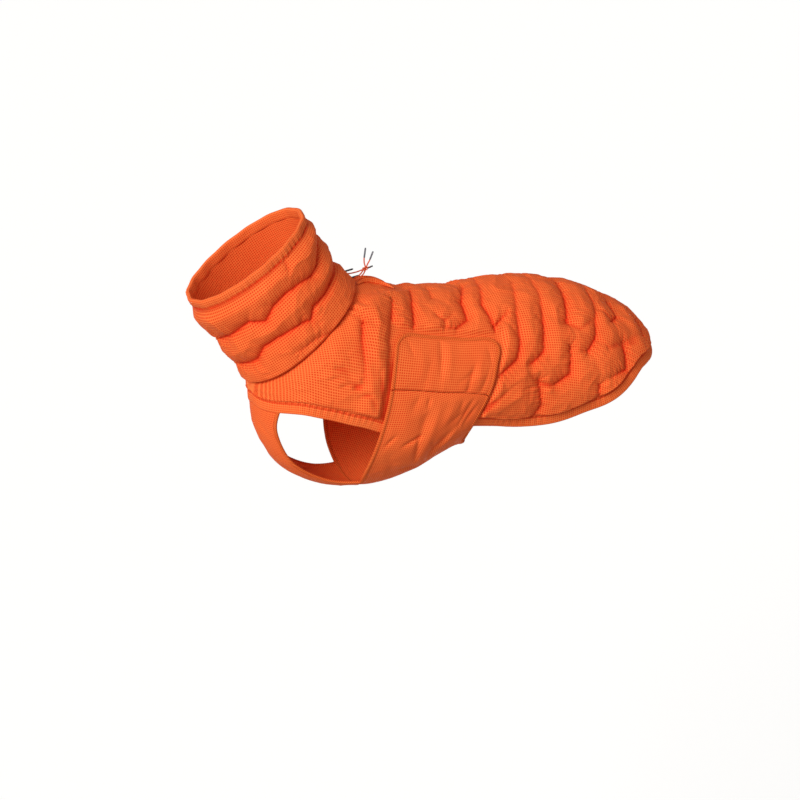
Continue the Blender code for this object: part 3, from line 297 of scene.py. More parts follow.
# tucks of the collar, over girth and height
COLLAR_FOLDS = table(
    FOLD,
    (50, 47, 98, 42, 4.6, 2.6), (100, 48, 112, 40, 3.6, 1.8), (20, 62, 34, 76, 4.0, 1.5),
    (84, 74, 74, 84, 3.4, 1.8), (188, 84, 178, 94, 3.4, 1.6), (150, 82, 158, 92, 3.6, 1.5),
    (133, 40, 126, 50, 3.4, 1.7), (212, 34, 206, 24, 3.6, 1.8), (126, 8, 118, 20, 4.0, 1.6),
    (60, 102, 84, 96, 6.0, -1.2), (120, 60, 150, 64, 8.0, -1.0),
)
# folds of a closure tab: x is along its width from the front edge, girth down from its top edge
TAB_FOLDS = table(
    FOLD,
    (57, 4, 61, 46, 4.6, 2.4), (70, 8, 74, 58, 7.0, -1.3), (108, 34, 102, 74, 4.4, 2.4),
    (90, 52, 110, 40, 4.0, 1.2), (124, 12, 136, 30, 3.4, 1.3), (20, 56, 46, 64, 5.0, 1.0),
    (30, 14, 36, 40, 8.0, -0.9), (132, 34, 124, 70, 4.0, 1.3), (12, 8, 20, 24, 3.0, 0.9),
    (116, 20, 119, 54, 6.0, -1.0), (44, 30, 40, 60, 5.0, 0.9),
)
# folds of the belly band on one side: girth is down from the seam under the tab
BAND_FOLDS = table(
    FOLD,
    (50, 6, 51, 20, 3.2, 2.4), (52, 28, 54, 60, 8.5, 3.0), (68, 16, 68, 100, 9.0, -2.4),
    (34, 77, 55, 62, 3.2, 3.0), (53, 64, 62, 104, 3.8, 3.2), (8, 78, 17, 64, 3.2, 2.2),
    (81, 122, 86, 88, 7.5, 3.4), (86, 88, 104, 58, 6.5, 3.0), (77, 71, 84, 79, 3.0, 2.0),
    (45, 126, 71, 126, 6.0, 2.8), (20, 30, 30, 60, 11.0, -1.5), (100, 8, 108, 34, 5.5, 1.8),
    (118, 8, 112, 46, 4.4, 2.4), (92, 96, 70, 118, 8.0, -2.0), (130, 14, 122, 44, 4.2, 2.0),
    (20, 96, 40, 142, 8.0, 1.8), (108, 84, 98, 130, 7.0, 2.2), (36, 6, 30, 26, 5.0, 1.4),
    (88, 20, 84, 46, 7.0, -1.5), (112, 52, 100, 84, 5.0, -1.6), (96, 40, 108, 30, 4.0, 1.4),
)
# folds of the chest bib: x is across from its centre line, girth down from the front hem
BIB_FOLDS = table(
    FOLD,
    (-30, 10, -6, 30, 5.0, 1.0), (12, 22, 34, 40, 5.5, 0.9), (-26, 58, 0, 74, 6.0, 0.8),
    (4, 92, 30, 104, 6.0, 0.9), (-22, 128, 6, 138, 7.0, 0.8), (-8, 40, 6, 66, 8.0, -0.7),
)

# ---------------------------------------------------------------- camera and sun, metres and degrees

CAMERA_AIM = (-0.083, 0.0, -0.145)
CAMERA_AZIMUTH = -21.0
CAMERA_ELEVATION = 15.0
CAMERA_DISTANCE = 3.740
SUN_SPREAD = 32.0
SUN_TILT = 65.0
SUN_TURN = -53.0
FLOOR_HALF = 40.0


# ---------------------------------------------------------------- forms

def read_table(rows, at, column):
    """Smooth curve through one column of a table, whose first column is the position."""
    x = np.array([row[0] for row in rows], float)
    y = np.array([getattr(row, column) for row in rows], float)
    slope = np.gradient(y, x)
    at = np.clip(np.asarray(at, float), x[0], x[-1])
    k = np.clip(np.searchsorted(x, at, side="right") - 1, 0, len(x) - 2)
    step = x[k + 1] - x[k]
    t = (at - x[k]) / step
    rise = y[k + 1] - y[k]
    bend_in = step * slope[k] - rise
    bend_out = rise - step * slope[k + 1]
    return y[k] + t * rise + t * (1 - t) * ((1 - t) * bend_in + t * bend_out)


def smoothstep(low, high, value):
    """0 below low, 1 above high, and 3t^2 - 2t^3 between them."""
    t = np.clip((value - low) / (high - low), 0.0, 1.0)
    return t * t * (3 - 2 * t)


def ring_point(rows, station, angle):
    """Point of a ring form: down by `widest`(1 - cos) to the widest place and by the rest below
    it, across by the sine to the power RING_FULLNESS times the half width."""
    top_x = read_table(rows, station, "top_x")
    top_z = read_table(rows, station, "top_z")
    low_x = read_table(rows, station, "low_x")
    low_z = read_table(rows, station, "low_z")
    widest = read_table(rows, station, "widest")
    cosine = np.cos(angle)
    sine = np.sin(angle)
    down = np.where(cosine >= 0, widest * (1 - cosine), widest - (1 - widest) * cosine)
    across = np.sign(sine) * np.abs(sine) ** RING_FULLNESS
    y = -read_table(rows, station, "half_width") * across
    return np.stack([top_x + (low_x - top_x) * down, y, top_z + (low_z - top_z) * down], -1)


def ring_normal(rows, station, angle):
    """Outward unit normal: the cross product of the form's two directions at the point."""
    last = rows[-1][0]
    small_s = 1e-3 * last
    small_a = 1e-3
    station = np.clip(station, small_s, last - small_s)
    along = ring_point(rows, station + small_s, angle) - ring_point(rows, station - small_s, angle)
    around = ring_point(rows, station, angle + small_a) - ring_point(rows, station, angle - small_a)
    normal = unit(np.cross(around, along))
    middle = (ring_point(rows, station, angle * 0) + ring_point(rows, station, angle * 0 + math.pi)) / 2
    outside = ((ring_point(rows, station, angle) - middle) * normal).sum(-1)
    return normal * np.sign(outside)[..., None]


def skin(rows, station, angle, lift):
    """Point that stands `lift` off a ring form, along its normal."""
    station, angle, lift = np.broadcast_arrays(station, angle, lift)
    return ring_point(rows, station, angle) + ring_normal(rows, station, angle) * lift[..., None]


def station_at(x, angle):
    """Station of the torso form at the given x and angle, by halving the interval 24 times."""
    x, angle = np.broadcast_arrays(x, angle)
    low = np.zeros(x.shape)
    high = np.full(x.shape, float(LAST_STATION))
    for _ in range(24):
        middle = (low + high) / 2
        before = ring_point(TORSO, middle, angle)[..., 0] < x
        low = np.where(before, middle, low)
        high = np.where(before, high, middle)
    return (low + high) / 2


def unit(vectors):
    """The same directions at length 1."""
    return vectors / np.linalg.norm(vectors, axis=-1, keepdims=True)


def run_from_middle(points):
    """Length along each row of a grid from its middle column, positive towards column 0."""
    steps = np.linalg.norm(np.diff(points, axis=1), axis=-1)
    run = np.concatenate([np.zeros((len(points), 1)), np.cumsum(steps, axis=1)], axis=1)
    middle = points.shape[1] // 2
    return run[:, middle:middle + 1] - run


def run_along(points):
    """Length from the first of a line of points to each of them."""
    return np.concatenate([[0.0], np.cumsum(np.linalg.norm(np.diff(points, axis=0), axis=1))])


def run_down(points):
    """Mean length along the columns of a grid from its first row, one value for each row."""
    steps = np.linalg.norm(np.diff(points, axis=0), axis=-1).mean(axis=1)
    return np.concatenate([[0.0], np.cumsum(steps)])


def hem_angle(station):
    """Angle of the panel's lower edge, in radians."""
    return np.radians(read_table(HEM, station, "angle"))


def notched(station, angle):
    """Pull the last rows forward along the spine by a bell curve over the angle."""
    late = smoothstep(LAST_STATION - TAIL_NOTCH_RUN, LAST_STATION, station)
    return station - TAIL_NOTCH * late * np.exp(-(angle / TAIL_NOTCH_ANGLE) ** 2)


def bowed(angles, bow, share):
    """Angle between a front and a rear angle, in radians, less a bow that keeps the edge level."""
    return np.radians(angles[0] * (1 - share) + angles[1] * share - 4 * bow * share * (1 - share))


def tab_cover(x, angle, margin, fade):
    """1 where a tab or the band presses the panel flat; it falls to 0 from margin to fade away."""
    side = np.abs(np.degrees(angle))
    front = read_table(BAND, side, "front_x")
    rear = read_table(BAND, side, "rear_x")
    share = np.clip((x - front) / (rear - front), 0.0, 1.0)
    top = np.degrees(bowed(TAB_TOP_ANGLES, TAB_TOP_BOW, share))
    degrees_per_metre = 545.0
    behind_front = smoothstep(front - fade, front - margin, x)
    before_rear = 1 - smoothstep(rear + margin, rear + fade, x)
    below_top = smoothstep(top - fade * degrees_per_metre, top - margin * degrees_per_metre, side)
    return np.minimum(behind_front, before_rear) * below_top


# ---------------------------------------------------------------- relief of the cloth

def soft_noise(u, v, seed):
    """Smooth noise from 0 to 1: each whole-number corner takes the fraction of a large sine, and
    the four corners round a point are mixed with smoothstep weights."""
    column, row = np.floor(u), np.floor(v)
    mix_u = smoothstep(0.0, 1.0, u - column)
    mix_v = smoothstep(0.0, 1.0, v - row)

    def corner(step_u, step_v):
        value = np.sin(127.1 * (column + step_u) + 311.7 * (row + step_v) + 74.7 * seed) * 43758.5453
        return value - np.floor(value)

    near = corner(0, 0) * (1 - mix_u) + corner(1, 0) * mix_u
    far = corner(0, 1) * (1 - mix_u) + corner(1, 1) * mix_u
    return near * (1 - mix_v) + far * mix_v


def crumple(u, v, size, seed):
    """Sharp-creased noise from -1 to 1: ridges where a bent smooth noise passes its middle."""
    bend = soft_noise(u / size * 0.7, v / size * 0.7, seed + 3.0)
    value = soft_noise(u / size + 1.6 * bend, v / size - 1.3 * bend, seed)
    finer = soft_noise(u / size * 2.1 + bend, v / size * 2.1, seed + 7.0)
    return 1 - 2 * np.abs(2 * value - 1) ** 0.8 + 0.5 * (finer - 0.5)


def seam_paths(seams):
    """Each seam's points as an array of (u, v, depth), with u and v in metres."""
    return [np.array(points, float) / (1000, 1000, 1) for points in seams.values()]


def ends_faded(fade, share):
    """0 at both ends of a share from 0 to 1, and 1 where it is more than `fade` from them."""
    return smoothstep(0.0, fade, share) * smoothstep(0.0, fade, 1 - share)


def far_side_copy(seams, start):
    """The same seams with v turned over, each cut off nearer than `start` to the spine."""
    copies = []
    for seam in seams:
        copy = seam.copy()
        first, second = seam[:2, 1]
        if first < start and first < second:
            begin = max(start, start - first)
            head = [np.interp(begin, seam[:2, 1], seam[:2, column]) for column in range(3)]
            copy = np.concatenate([[head], seam[seam[:, 1] > begin]])
        copy[:, 1] *= -1
        copies.append(copy)
    return copies


def seam_relief(u, v, seams, quilting, reach):
    """Valleys and puckers round the seams, over two lengths u and v.

    Returns three arrays.  `valley` is the largest of depth * (crease * exp(-distance / 5 mm) + (1 -
    crease) * exp(-(distance / reach)^1.4)).  `pucker` is the sum over the seams of exp(-distance / fade) *
    (2 |sin(pi * run / wave)|^0.8 - 1.1), with the run turned round a seam's ends so that the wrinkles fan
    out there, stronger near the ends.  `near` is the largest of depth * exp(-distance / 2.4 mm), for the
    stitch groove and for the deeper colour, painted shade along the seam lines."""
    valley = np.zeros(u.shape)
    pucker = np.zeros(u.shape)
    near = np.zeros(u.shape)
    window = 0.060
    end_turn = 0.008
    end_reach = 0.014
    fade = 0.0115
    crease_reach = 0.0050
    line_reach = 0.0024
    mean_wave = 0.0088
    wave_change = 0.0020
    uneven_size = 0.016
    for number, seam in enumerate(seams):
        inside = ((u > seam[:, 0].min() - window) & (u < seam[:, 0].max() + window)
                  & (v > seam[:, 1].min() - window) & (v < seam[:, 1].max() + window))
        pu, pv = u[inside], v[inside]
        best = np.full(pu.shape, 1.0)
        run_at = np.zeros(pu.shape)
        side_at = np.zeros(pu.shape)
        depth_at = np.zeros(pu.shape)
        run = 0.0
        for (u0, v0, d0), (u1, v1, d1) in zip(seam[:-1], seam[1:]):
            du, dv = u1 - u0, v1 - v0
            length = math.hypot(du, dv)
            free = ((pu - u0) * du + (pv - v0) * dv) / length ** 2
            t = np.clip(free, 0.0, 1.0)
            off_u = pu - u0 - t * du
            off_v = pv - v0 - t * dv
            distance = np.hypot(off_u, off_v)
            side = np.sign(du * (pv - v0) - dv * (pu - u0))
            over = (free - t) * length
            across = np.sqrt(np.maximum(distance ** 2 - over ** 2, 0.0))
            turn = np.arctan2(np.abs(over), across + 1e-6) * np.sign(over)
            closer = distance < best
            best = np.where(closer, distance, best)
            run_at = np.where(closer, run + t * length + end_turn * turn, run_at)
            side_at = np.where(closer, side, side_at)
            depth_at = np.where(closer, d0 + (d1 - d0) * t, depth_at)
            run += length
        to_start = np.hypot(pu - seam[0, 0], pv - seam[0, 1])
        to_end = np.minimum(to_start, np.hypot(pu - seam[-1, 0], pv - seam[-1, 1]))
        wave = mean_wave + wave_change * math.sin(3.1 * number)
        uneven = 0.35 + 1.3 * soft_noise(run_at / uneven_size, side_at * 2.0, number)
        strength = (0.36 + 1.65 * np.exp(-to_end / end_reach)) * uneven * depth_at
        phase = math.pi * run_at / wave + 0.7 * side_at + 2.3 * number
        pucker[inside] += strength * np.exp(-best / fade) * (2 * np.abs(np.sin(phase)) ** 0.8 - 1.1)
        creased = quilting.crease * np.exp(-best / crease_reach)
        sunk = creased + (1 - quilting.crease) * np.exp(-(best / reach) ** 1.4)
        valley[inside] = np.maximum(valley[inside], depth_at * sunk)
        near[inside] = np.maximum(near[inside], depth_at * np.exp(-best / line_reach))
    return valley, pucker, near


def fold_relief(u, v, folds):
    """Sum over the folds of -depth * exp(-(distance / width)^1.6), in metres, with the distance
    to the fold's line; a fold is also shallower where its line starts and ends."""
    relief = np.zeros(u.shape)
    for fold in folds:
        u0, v0 = fold.x / 1000, fold.girth / 1000
        du, dv = fold.to_x / 1000 - u0, fold.to_girth / 1000 - v0
        free = ((u - u0) * du + (v - v0) * dv) / (du * du + dv * dv)
        t = np.clip(free, 0.0, 1.0)
        distance = np.hypot(u - u0 - t * du, v - v0 - t * dv)
        taper = 0.35 + 0.65 * np.sin(math.pi * np.clip(0.08 + 0.84 * t, 0.0, 1.0))
        relief -= fold.depth / 1000 * taper * np.exp(-(distance / (fold.width / 1000)) ** 1.6)
    return relief


def fold_shade(relief):
    """Share of the deeper colour, painted shade in a trough: it starts at 1 mm deep and is largest at 3.4
    mm.
    """
    return 0.6 * smoothstep(0.0010, 0.0034, -relief)


# ---------------------------------------------------------------- meshes

def grid_numbers(rows, columns, first=0):
    """Point numbers of a grid, row after row."""
    return np.arange(first, first + rows * columns).reshape(rows, columns)


def grid_quads(numbers):
    """The four corner numbers of each cell of a grid of point numbers."""
    corners = [numbers[:-1, :-1], numbers[1:, :-1], numbers[1:, 1:], numbers[:-1, 1:]]
    return np.stack(corners, -1).reshape(-1, 4)


def enclosed_volume(points, faces):
    """A sixth of the sum of the triple products of every face's fan of triangles."""
    volume = 0.0
    for group in faces:
        first = points[group[:, 0]]
        for k in range(1, group.shape[1] - 1):
            volume += (first * np.cross(points[group[:, k]], points[group[:, k + 1]])).sum()
    return volume / 6


def mesh_piece(name, points, faces, same, cloth_uv, material, fold=None):
    """Object from points and groups of faces; `same` gives the point that each one is merged
    into, and `cloth_uv` the place of each unmerged point on the flat cloth, in metres.

    A closed shell's faces are turned round if they look inwards.  `fold` is 1 where a point takes the
    deeper colour, painted shade in the seams and folds, and `material` is a material's name."""
    raw = [np.asarray(group) for group in faces]
    if enclosed_volume(points, [same[group] for group in raw]) < 0:
        raw = [group[:, ::-1] for group in raw]
    corners = np.concatenate([group.ravel() for group in raw])
    totals = np.concatenate([np.full(len(group), group.shape[1]) for group in raw])
    starts = np.concatenate([[0], np.cumsum(totals)[:-1]])
    used, merged = np.unique(same[corners], return_inverse=True)
    mesh = bpy.data.meshes.new(name)
    mesh.vertices.add(len(used))
    mesh.vertices.foreach_set("co", points[used].astype(np.float32).ravel())
    mesh.loops.add(len(corners))
    mesh.loops.foreach_set("vertex_index", merged.astype(np.int32).ravel())
    mesh.polygons.add(len(totals))
    mesh.polygons.foreach_set("loop_start", starts.astype(np.int32))
    layer = mesh.uv_layers.new(name="cloth")
    layer.uv.foreach_set("vector", cloth_uv[corners].astype(np.float32).ravel())
    if fold is not None:
        # the point attribute carries the painted shade that the cloth material mixes in
        attribute = mesh.attributes.new("fold", "FLOAT", "POINT")
        attribute.data.foreach_set("value", np.clip(fold[used], 0.0, 1.0).astype(np.float32))
    mesh.update(calc_edges=True)
    mesh.validate()
    mesh.shade_smooth()
    mesh.set_sharp_from_angle(angle=math.radians(75))
    mesh.materials.append(material_of(material))
    piece = bpy.data.objects.new(name, mesh)
    bpy.context.scene.collection.objects.link(piece)
    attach(piece, "root")
    return piece


def rim_runs(rows, columns, closed_rows):
    """Runs of (row, column) round the open edges of a grid, as arrays."""
    down = np.arange(rows)
    along = np.arange(columns)
    first_row = np.stack([along * 0, along], -1)
    end_row = np.stack([along * 0 + rows - 1, along[::-1]], -1)
    right = np.stack([down, down * 0 + columns - 1], -1)
    left = np.stack([down[::-1], down * 0], -1)
    if closed_rows == 0:
        return [np.concatenate([first_row, right[1:], end_row[1:], left[1:]])]
    if closed_rows >= rows:
        return [first_row, end_row]
    split = closed_rows - 1
    return [first_row, np.concatenate([right[split:], end_row[1:], left[1:rows - split]])]


def cloth_wall(name, outer, form, uv, ratio, closed_rows, fold):
    """Closed cloth wall between an outer grid and a coarser inner one, which takes each
    `ratio`-th row and column of the form's grid.

    In the first `closed_rows` rows the last column is the first.  The rim joins each inner
    edge to the run of outer edges beside it."""
    inner = form[::ratio, ::ratio]
    inner_uv = uv[::ratio, ::ratio]
    rows, columns = outer.shape[:2]
    inner_rows, inner_columns = inner.shape[:2]
    out = grid_numbers(rows, columns)
    into = grid_numbers(inner_rows, inner_columns, rows * columns)
    faces = [grid_quads(out), grid_quads(into)[:, ::-1]]
    for run in rim_runs(rows, columns, closed_rows):
        count = (len(run) - 1) // ratio
        places = run[np.arange(count)[:, None] * ratio + np.arange(ratio + 1)[None, :]]
        edge = out[places[..., 0], places[..., 1]]
        inner_end = into[places[:, -1, 0] // ratio, places[:, -1, 1] // ratio]
        inner_start = into[places[:, 0, 0] // ratio, places[:, 0, 1] // ratio]
        faces.append(np.concatenate([edge, inner_end[:, None], inner_start[:, None]], axis=1))
    points = np.concatenate([outer.reshape(-1, 3), inner.reshape(-1, 3)])
    same = np.arange(len(points))
    if closed_rows:
        inner_closed = (closed_rows - 1) // ratio + 1
        same[out[:closed_rows, -1]] = out[:closed_rows, 0]
        same[into[:inner_closed, -1]] = into[:inner_closed, 0]
    flat = np.concatenate([uv.reshape(-1, 2), inner_uv.reshape(-1, 2)])
    # painted shade on the outer side; the inner side takes none
    depth = np.concatenate([fold.ravel(), np.zeros(inner_rows * inner_columns)])
    return mesh_piece(name, points, faces, same, flat, "ripstop_nylon_shell", depth)


def tube_piece(name, sections, material, closed, fold=None):
    """Closed tube through equal sections, a ring if closed, with flat ends if not.

    Its cloth place is (length along the tube, length round its section)."""
    sections = np.concatenate([sections, sections[:, :1]], axis=1)
    if closed:
        sections = np.concatenate([sections, sections[:1]])
    rows, columns = sections.shape[:2]
    numbers = grid_numbers(rows, columns)
    same = np.arange(rows * columns)
    same[numbers[:, -1]] = numbers[:, 0]
    faces = [grid_quads(numbers)]
    if closed:
        same[numbers[-1]] = same[numbers[0]]
    else:
        faces.append(numbers[:1, :-1])
        faces.append(numbers[-1:, -2::-1])
    along = np.broadcast_to(run_down(sections)[:, None], (rows, columns))
    steps = np.diff(sections, axis=1, prepend=sections[:, :1])
    around = np.cumsum(np.linalg.norm(steps, axis=-1), axis=1)
    flat = np.stack([along, around], -1).reshape(-1, 2)
    depth = None
    # painted shade, where one is given, for each point of the tube
    if fold is not None:
        fold = np.concatenate([fold, fold[:, :1]], axis=1)
        depth = (np.concatenate([fold, fold[:1]]) if closed else fold).ravel()
    return mesh_piece(name, sections.reshape(-1, 3), faces, same, flat, material, depth)


def oval(sides, power=0.75):
    """Section of a folded edge, 1 wide and 1 thick: (across, out) of a superellipse, from the
    cosine and sine to a power; a lower power is squarer."""
    turn = 2 * math.pi * (np.arange(sides) + 0.5) / sides
    across = np.sign(np.cos(turn)) * np.abs(np.cos(turn)) ** power / 2
    out = np.sign(np.sin(turn)) * np.abs(np.sin(turn)) ** power / 2
    return across, out


def direction(points, closed):
    """Direction of a run at each of its points, from the places beside it."""
    if closed:
        return np.roll(points, -1, axis=0) - np.roll(points, 1, axis=0)
    return np.gradient(points, axis=0)


def even_path(points, count, closed):
    """The same run at `count` places an equal length apart, all its columns together."""
    run = np.concatenate([points, points[:1]]) if closed else points
    length = run_along(run[:, :3])
    at = np.linspace(0.0, length[-1], count + 1)[:-1] if closed else np.linspace(0.0, length[-1], count)
    return np.stack([np.interp(at, length, run[:, k]) for k in range(run.shape[1])], -1)


def smooth_run(points, passes, closed):
    """Average each point of a run with its two neighbours, a few times; open ends stay."""
    for _ in range(passes):
        mean = 0.25 * np.roll(points, 1, axis=0) + 0.5 * points + 0.25 * np.roll(points, -1, axis=0)
        if not closed:
            mean[0], mean[-1] = points[0], points[-1]
        points = mean
    return points


def edge_frame(edge, outward, inside, width, count, closed, hang=None):
    """Centre, away and outward directions, and length, of a strip along the open edge of a cloth.

    The strip's centre lies half its width off the edge, away from the points `inside`.  `hang`
    may turn it towards upright by a share that depends on the edge's place."""
    data = even_path(np.concatenate([edge, outward, inside], axis=1), count, closed)
    edge, outward, inside = data[:, :3], unit(data[:, 3:6]), data[:, 6:]
    along = direction(edge, closed)
    away = unit(np.cross(along, outward))
    away *= np.sign(((edge - inside) * away).sum(-1, keepdims=True))
    smoothing_passes = 40
    away = unit(smooth_run(away, smoothing_passes, closed))
    if hang is not None:
        away = unit(away + hang(edge)[:, None] * (np.array((0.0, 0.0, -1.0)) - away))
        upright = np.cross(away, along)
        outward = unit(upright * np.sign((upright * outward).sum(-1, keepdims=True)))
    centre = edge + away * (EDGE_GAP * (1.5 if closed else 1.0) + width / 2)
    return centre, away, outward, run_along(centre)


# ---------------------------------------------------------------- materials

def hex_colour(code):
    """Linear colour of an sRGB hex value: c / 12.92 up to 0.04045, ((c + 0.055) / 1.055)^2.4 above."""
    value = np.array([int(code[place:place + 2], 16) for place in (1, 3, 5)]) / 255
    linear = np.where(value <= 0.04045, value / 12.92, ((value + 0.055) / 1.055) ** 2.4)
    return tuple(float(channel) for channel in linear)


def add_node(tree, kind, inputs=None, **settings):
    """Add one node: `settings` are its own values, `inputs` the values or sockets that go in."""
    node = tree.nodes.new(kind)
    for name, value in settings.items():
        setattr(node, name, value)
    for key, value in (inputs or {}).items():
        if isinstance(value, bpy.types.NodeSocket):
            tree.links.new(value, node.inputs[key])
        else:
            node.inputs[key].default_value = value
    return node


def new_material(name, roughness, specular):
    """Empty material with a Principled shader, whose constant values sit on its own sockets."""
    material = bpy.data.materials.new(name)
    material.use_nodes = True
    tree = material.node_tree
    shader = tree.nodes["Principled BSDF"]
    shader.inputs["Roughness"].default_value = roughness
    shader.inputs["Specular IOR Level"].default_value = specular
    return material, tree, shader


def cloth_place(tree):
    """A point's place on the flat cloth, in metres: along it and across it."""
    place = add_node(tree, "ShaderNodeUVMap", uv_map="cloth")
    split = add_node(tree, "ShaderNodeSeparateXYZ", {0: place.outputs[0]})
    return split.outputs["X"], split.outputs["Y"]


def math_node(tree, operation, *values):
    """Result of one operation on numbers or on what other nodes give."""
    return add_node(tree, "ShaderNodeMath", dict(enumerate(values)), operation=operation).outputs[0]


def wave_node(tree, operation, run, pitch):
    """Sine or cosine of 2 pi * run / pitch."""
    return math_node(tree, operation, math_node(tree, "MULTIPLY", run, 2 * math.pi / pitch))


def ramp_node(tree, value, low, high, top=1.0):
    """0 where the value is below low, `top` where it is above high, and a straight rise between."""
    ends = {"Value": value, "From Min": low, "From Max": high, "To Max": top}
    return add_node(tree, "ShaderNodeMapRange", ends).outputs[0]


def noise_node(tree, spot, **inputs):
    """Noise at a place, with its scale, detail and other inputs by name."""
    return add_node(tree, "ShaderNodeTexNoise", {"Vector": spot, **inputs}).outputs[0]


def mix_node(tree, share, first, second):
    """Colour between two others, by the share of the second."""
    mixed = {0: share, 6: first, 7: second}
    return add_node(tree, "ShaderNodeMix", mixed, data_type="RGBA").outputs[2]


def finish_surface(tree, shader, colour, height, strength, distance):
    """Give the shader its colour, and a fine relief by a bump node."""
    tree.links.new(colour, shader.inputs["Base Color"])
    bump = add_node(tree, "ShaderNodeBump", {"Height": height, "Strength": strength, "Distance": distance})
    tree.links.new(bump.outputs[0], shader.inputs["Normal"])


def ripstop_nylon(name, cell, thread, deep, pitch, strength):
    """Down-proof ripstop nylon, woven: a soft, nearly matt cloth with a raised square grid.

    The grid's thicker threads stand where the larger of two cosines, across and along the cloth, is near
    1.  The colour goes from cell to thread by that grid, which is the weave's pattern with a painted sheen
    on the thicker threads.  It is clouded by a broad noise, and goes to the deep colour, painted shade, in
    the seams and folds, under the tabs' edges and along the casings."""
    _, tree, shader = new_material(name, roughness=0.62, specular=0.03)
    waves = [wave_node(tree, "COSINE", run, pitch) for run in cloth_place(tree)]
    grid = ramp_node(tree, math_node(tree, "MAXIMUM", *waves), -0.35, 0.95)
    spot = add_node(tree, "ShaderNodeTexCoord").outputs["Object"]
    cloud = noise_node(tree, spot, Scale=26.0, Detail=3.0, Roughness=0.55)
    wrinkle = noise_node(tree, spot, Scale=105.0, Detail=3.0, Distortion=1.3)
    shown = math_node(tree, "MULTIPLY", grid, strength)
    # the thicker threads' lighter colour is the weave's pattern with a painted sheen on them
    woven = mix_node(tree, shown, (*cell, 1.0), (*thread, 1.0))
    cloudy = ramp_node(tree, cloud, 0.32, 0.70, top=0.12)
    shaded = mix_node(tree, cloudy, woven, (*deep, 1.0))
    # painted shade: the deep colour where the point attribute marks seams, folds, tab edges and stitch
    # lines
    fold = add_node(tree, "ShaderNodeAttribute", attribute_name="fold").outputs["Fac"]
    sunk = math_node(tree, "MULTIPLY", fold, 0.94)
    final = mix_node(tree, sunk, shaded, (*deep, 1.0))
    height = math_node(tree, "MULTIPLY_ADD", wrinkle, 3.4, grid)
    finish_surface(tree, shader, final, height, strength=0.42, distance=0.00045)


def twisted_polyester(name, dark, light, pitch):
    """Overlocked and corded edge of polyester thread: matt, with fine slanting turns of thread.

    Bands run at a slant over the strip: a sine of 2 pi * (along + 0.6 * around) / pitch."""
    _, tree, shader = new_material(name, roughness=0.75, specular=0.03)
    along, around = cloth_place(tree)
    slant = math_node(tree, "MULTIPLY_ADD", around, 0.6, along)
    turn = ramp_node(tree, wave_node(tree, "SINE", slant, pitch), -0.8, 0.6)
    # dark is painted shade between the turns of thread; light is the thread's own colour
    blend = mix_node(tree, turn, (*dark, 1.0), (*light, 1.0))
    finish_surface(tree, shader, blend, turn, strength=0.5, distance=0.0004)


def braided_elastic(name, dark, light, pitch):
    """Elastic cord in a braided polyester cover: two sets of slanting threads that cross.

    The braid is the product of two sines, of along + around and along - around."""
    _, tree, shader = new_material(name, roughness=0.66, specular=0.25)
    place = cloth_place(tree)
    slants = [math_node(tree, operation, *place) for operation in ("ADD", "SUBTRACT")]
    waves = [wave_node(tree, "SINE", slant, pitch) for slant in slants]
    level = ramp_node(tree, math_node(tree, "MULTIPLY", *waves), -0.7, 0.7)
    # dark is painted shade between the braid's threads; light is the threads' own colour
    blend = mix_node(tree, level, (*dark, 1.0), (*light, 1.0))
    finish_surface(tree, shader, blend, level, strength=0.4, distance=0.0002)


def moulded_plastic(name, colour, worn, roughness, scale):
    """Moulded or heat-shrunk plastic: smooth, with a fine grain and slightly paler, worn places."""
    _, tree, shader = new_material(name, roughness, specular=0.45)
    spot = add_node(tree, "ShaderNodeTexCoord").outputs["Object"]
    noise = noise_node(tree, spot, Scale=scale, Detail=4.0)
    blend = mix_node(tree, ramp_node(tree, noise, 0.45, 0.75), (*colour, 1.0), (*worn, 1.0))
    finish_surface(tree, shader, blend, noise, strength=0.25, distance=0.0002)


def material_of(name):
    """A material that the materials operator has made."""
    if name not in bpy.data.materials:
        raise RuntimeError(f"material {name} isn't made yet: run the materials operator first")
    return bpy.data.materials[name]


# ---------------------------------------------------------------- quilted back panel

PANEL_ROWS = 330
PANEL_COLUMNS = 285
PANEL_CLOSED = 20           # rows of the grid in front of the chest, where the panel is a tube
INNER_RATIO = 5             # outer cells beside one inner cell
PANEL_LOWEST = -0.0011      # relief of the outer side over the wall, after the deepest fold
PANEL_HIGHEST = 0.0115      # and on the highest puff
YOKE_SWELL = 0.0012         # the plain yoke's filling stands this much over the solid's
TAB_EDGE_SHADE_GIRTH = (0.130, 0.170)     # between these girths the painted shade under a tab's edge sets in


def panel_grid():
    """Stations and angles of the back panel: whole rings first, then arcs down to the hem."""
    front = np.linspace(0.0, CHEST_STATION, PANEL_CLOSED + 1)
    back = np.linspace(CHEST_STATION, LAST_STATION, PANEL_ROWS - PANEL_CLOSED + 1)[1:]
    stations = np.concatenate([front, back])
    limit = np.where(stations <= CHEST_STATION, math.pi, hem_angle(stations))
    angle = limit[:, None] * np.linspace(1.0, -1.0, PANEL_COLUMNS + 1)[None, :]
    return notched(stations[:, None], angle), angle


def panel_edge_distance(station, angle):
    """Rough distance from the panel's nearest edge, from mean lengths of a radian and a station."""
    radian = 0.105
    neck_station = 0.020 + 0.006 * np.cos(angle)
    chest_station = 0.014
    chest_radian = 0.080
    rear_station = 0.026
    far = 1.0
    before_chest = station <= CHEST_STATION
    to_hem = np.where(before_chest, far, (hem_angle(station) - np.abs(angle)) * radian)
    to_neck = station * neck_station
    to_rear = (LAST_STATION - station) * rear_station
    to_chest = (CHEST_STATION - station) * chest_station + (math.pi - np.abs(angle)) * chest_radian
    to_chest = np.where(before_chest, to_chest, far)
    return np.minimum.reduce([to_hem, to_neck, to_rear, to_chest])


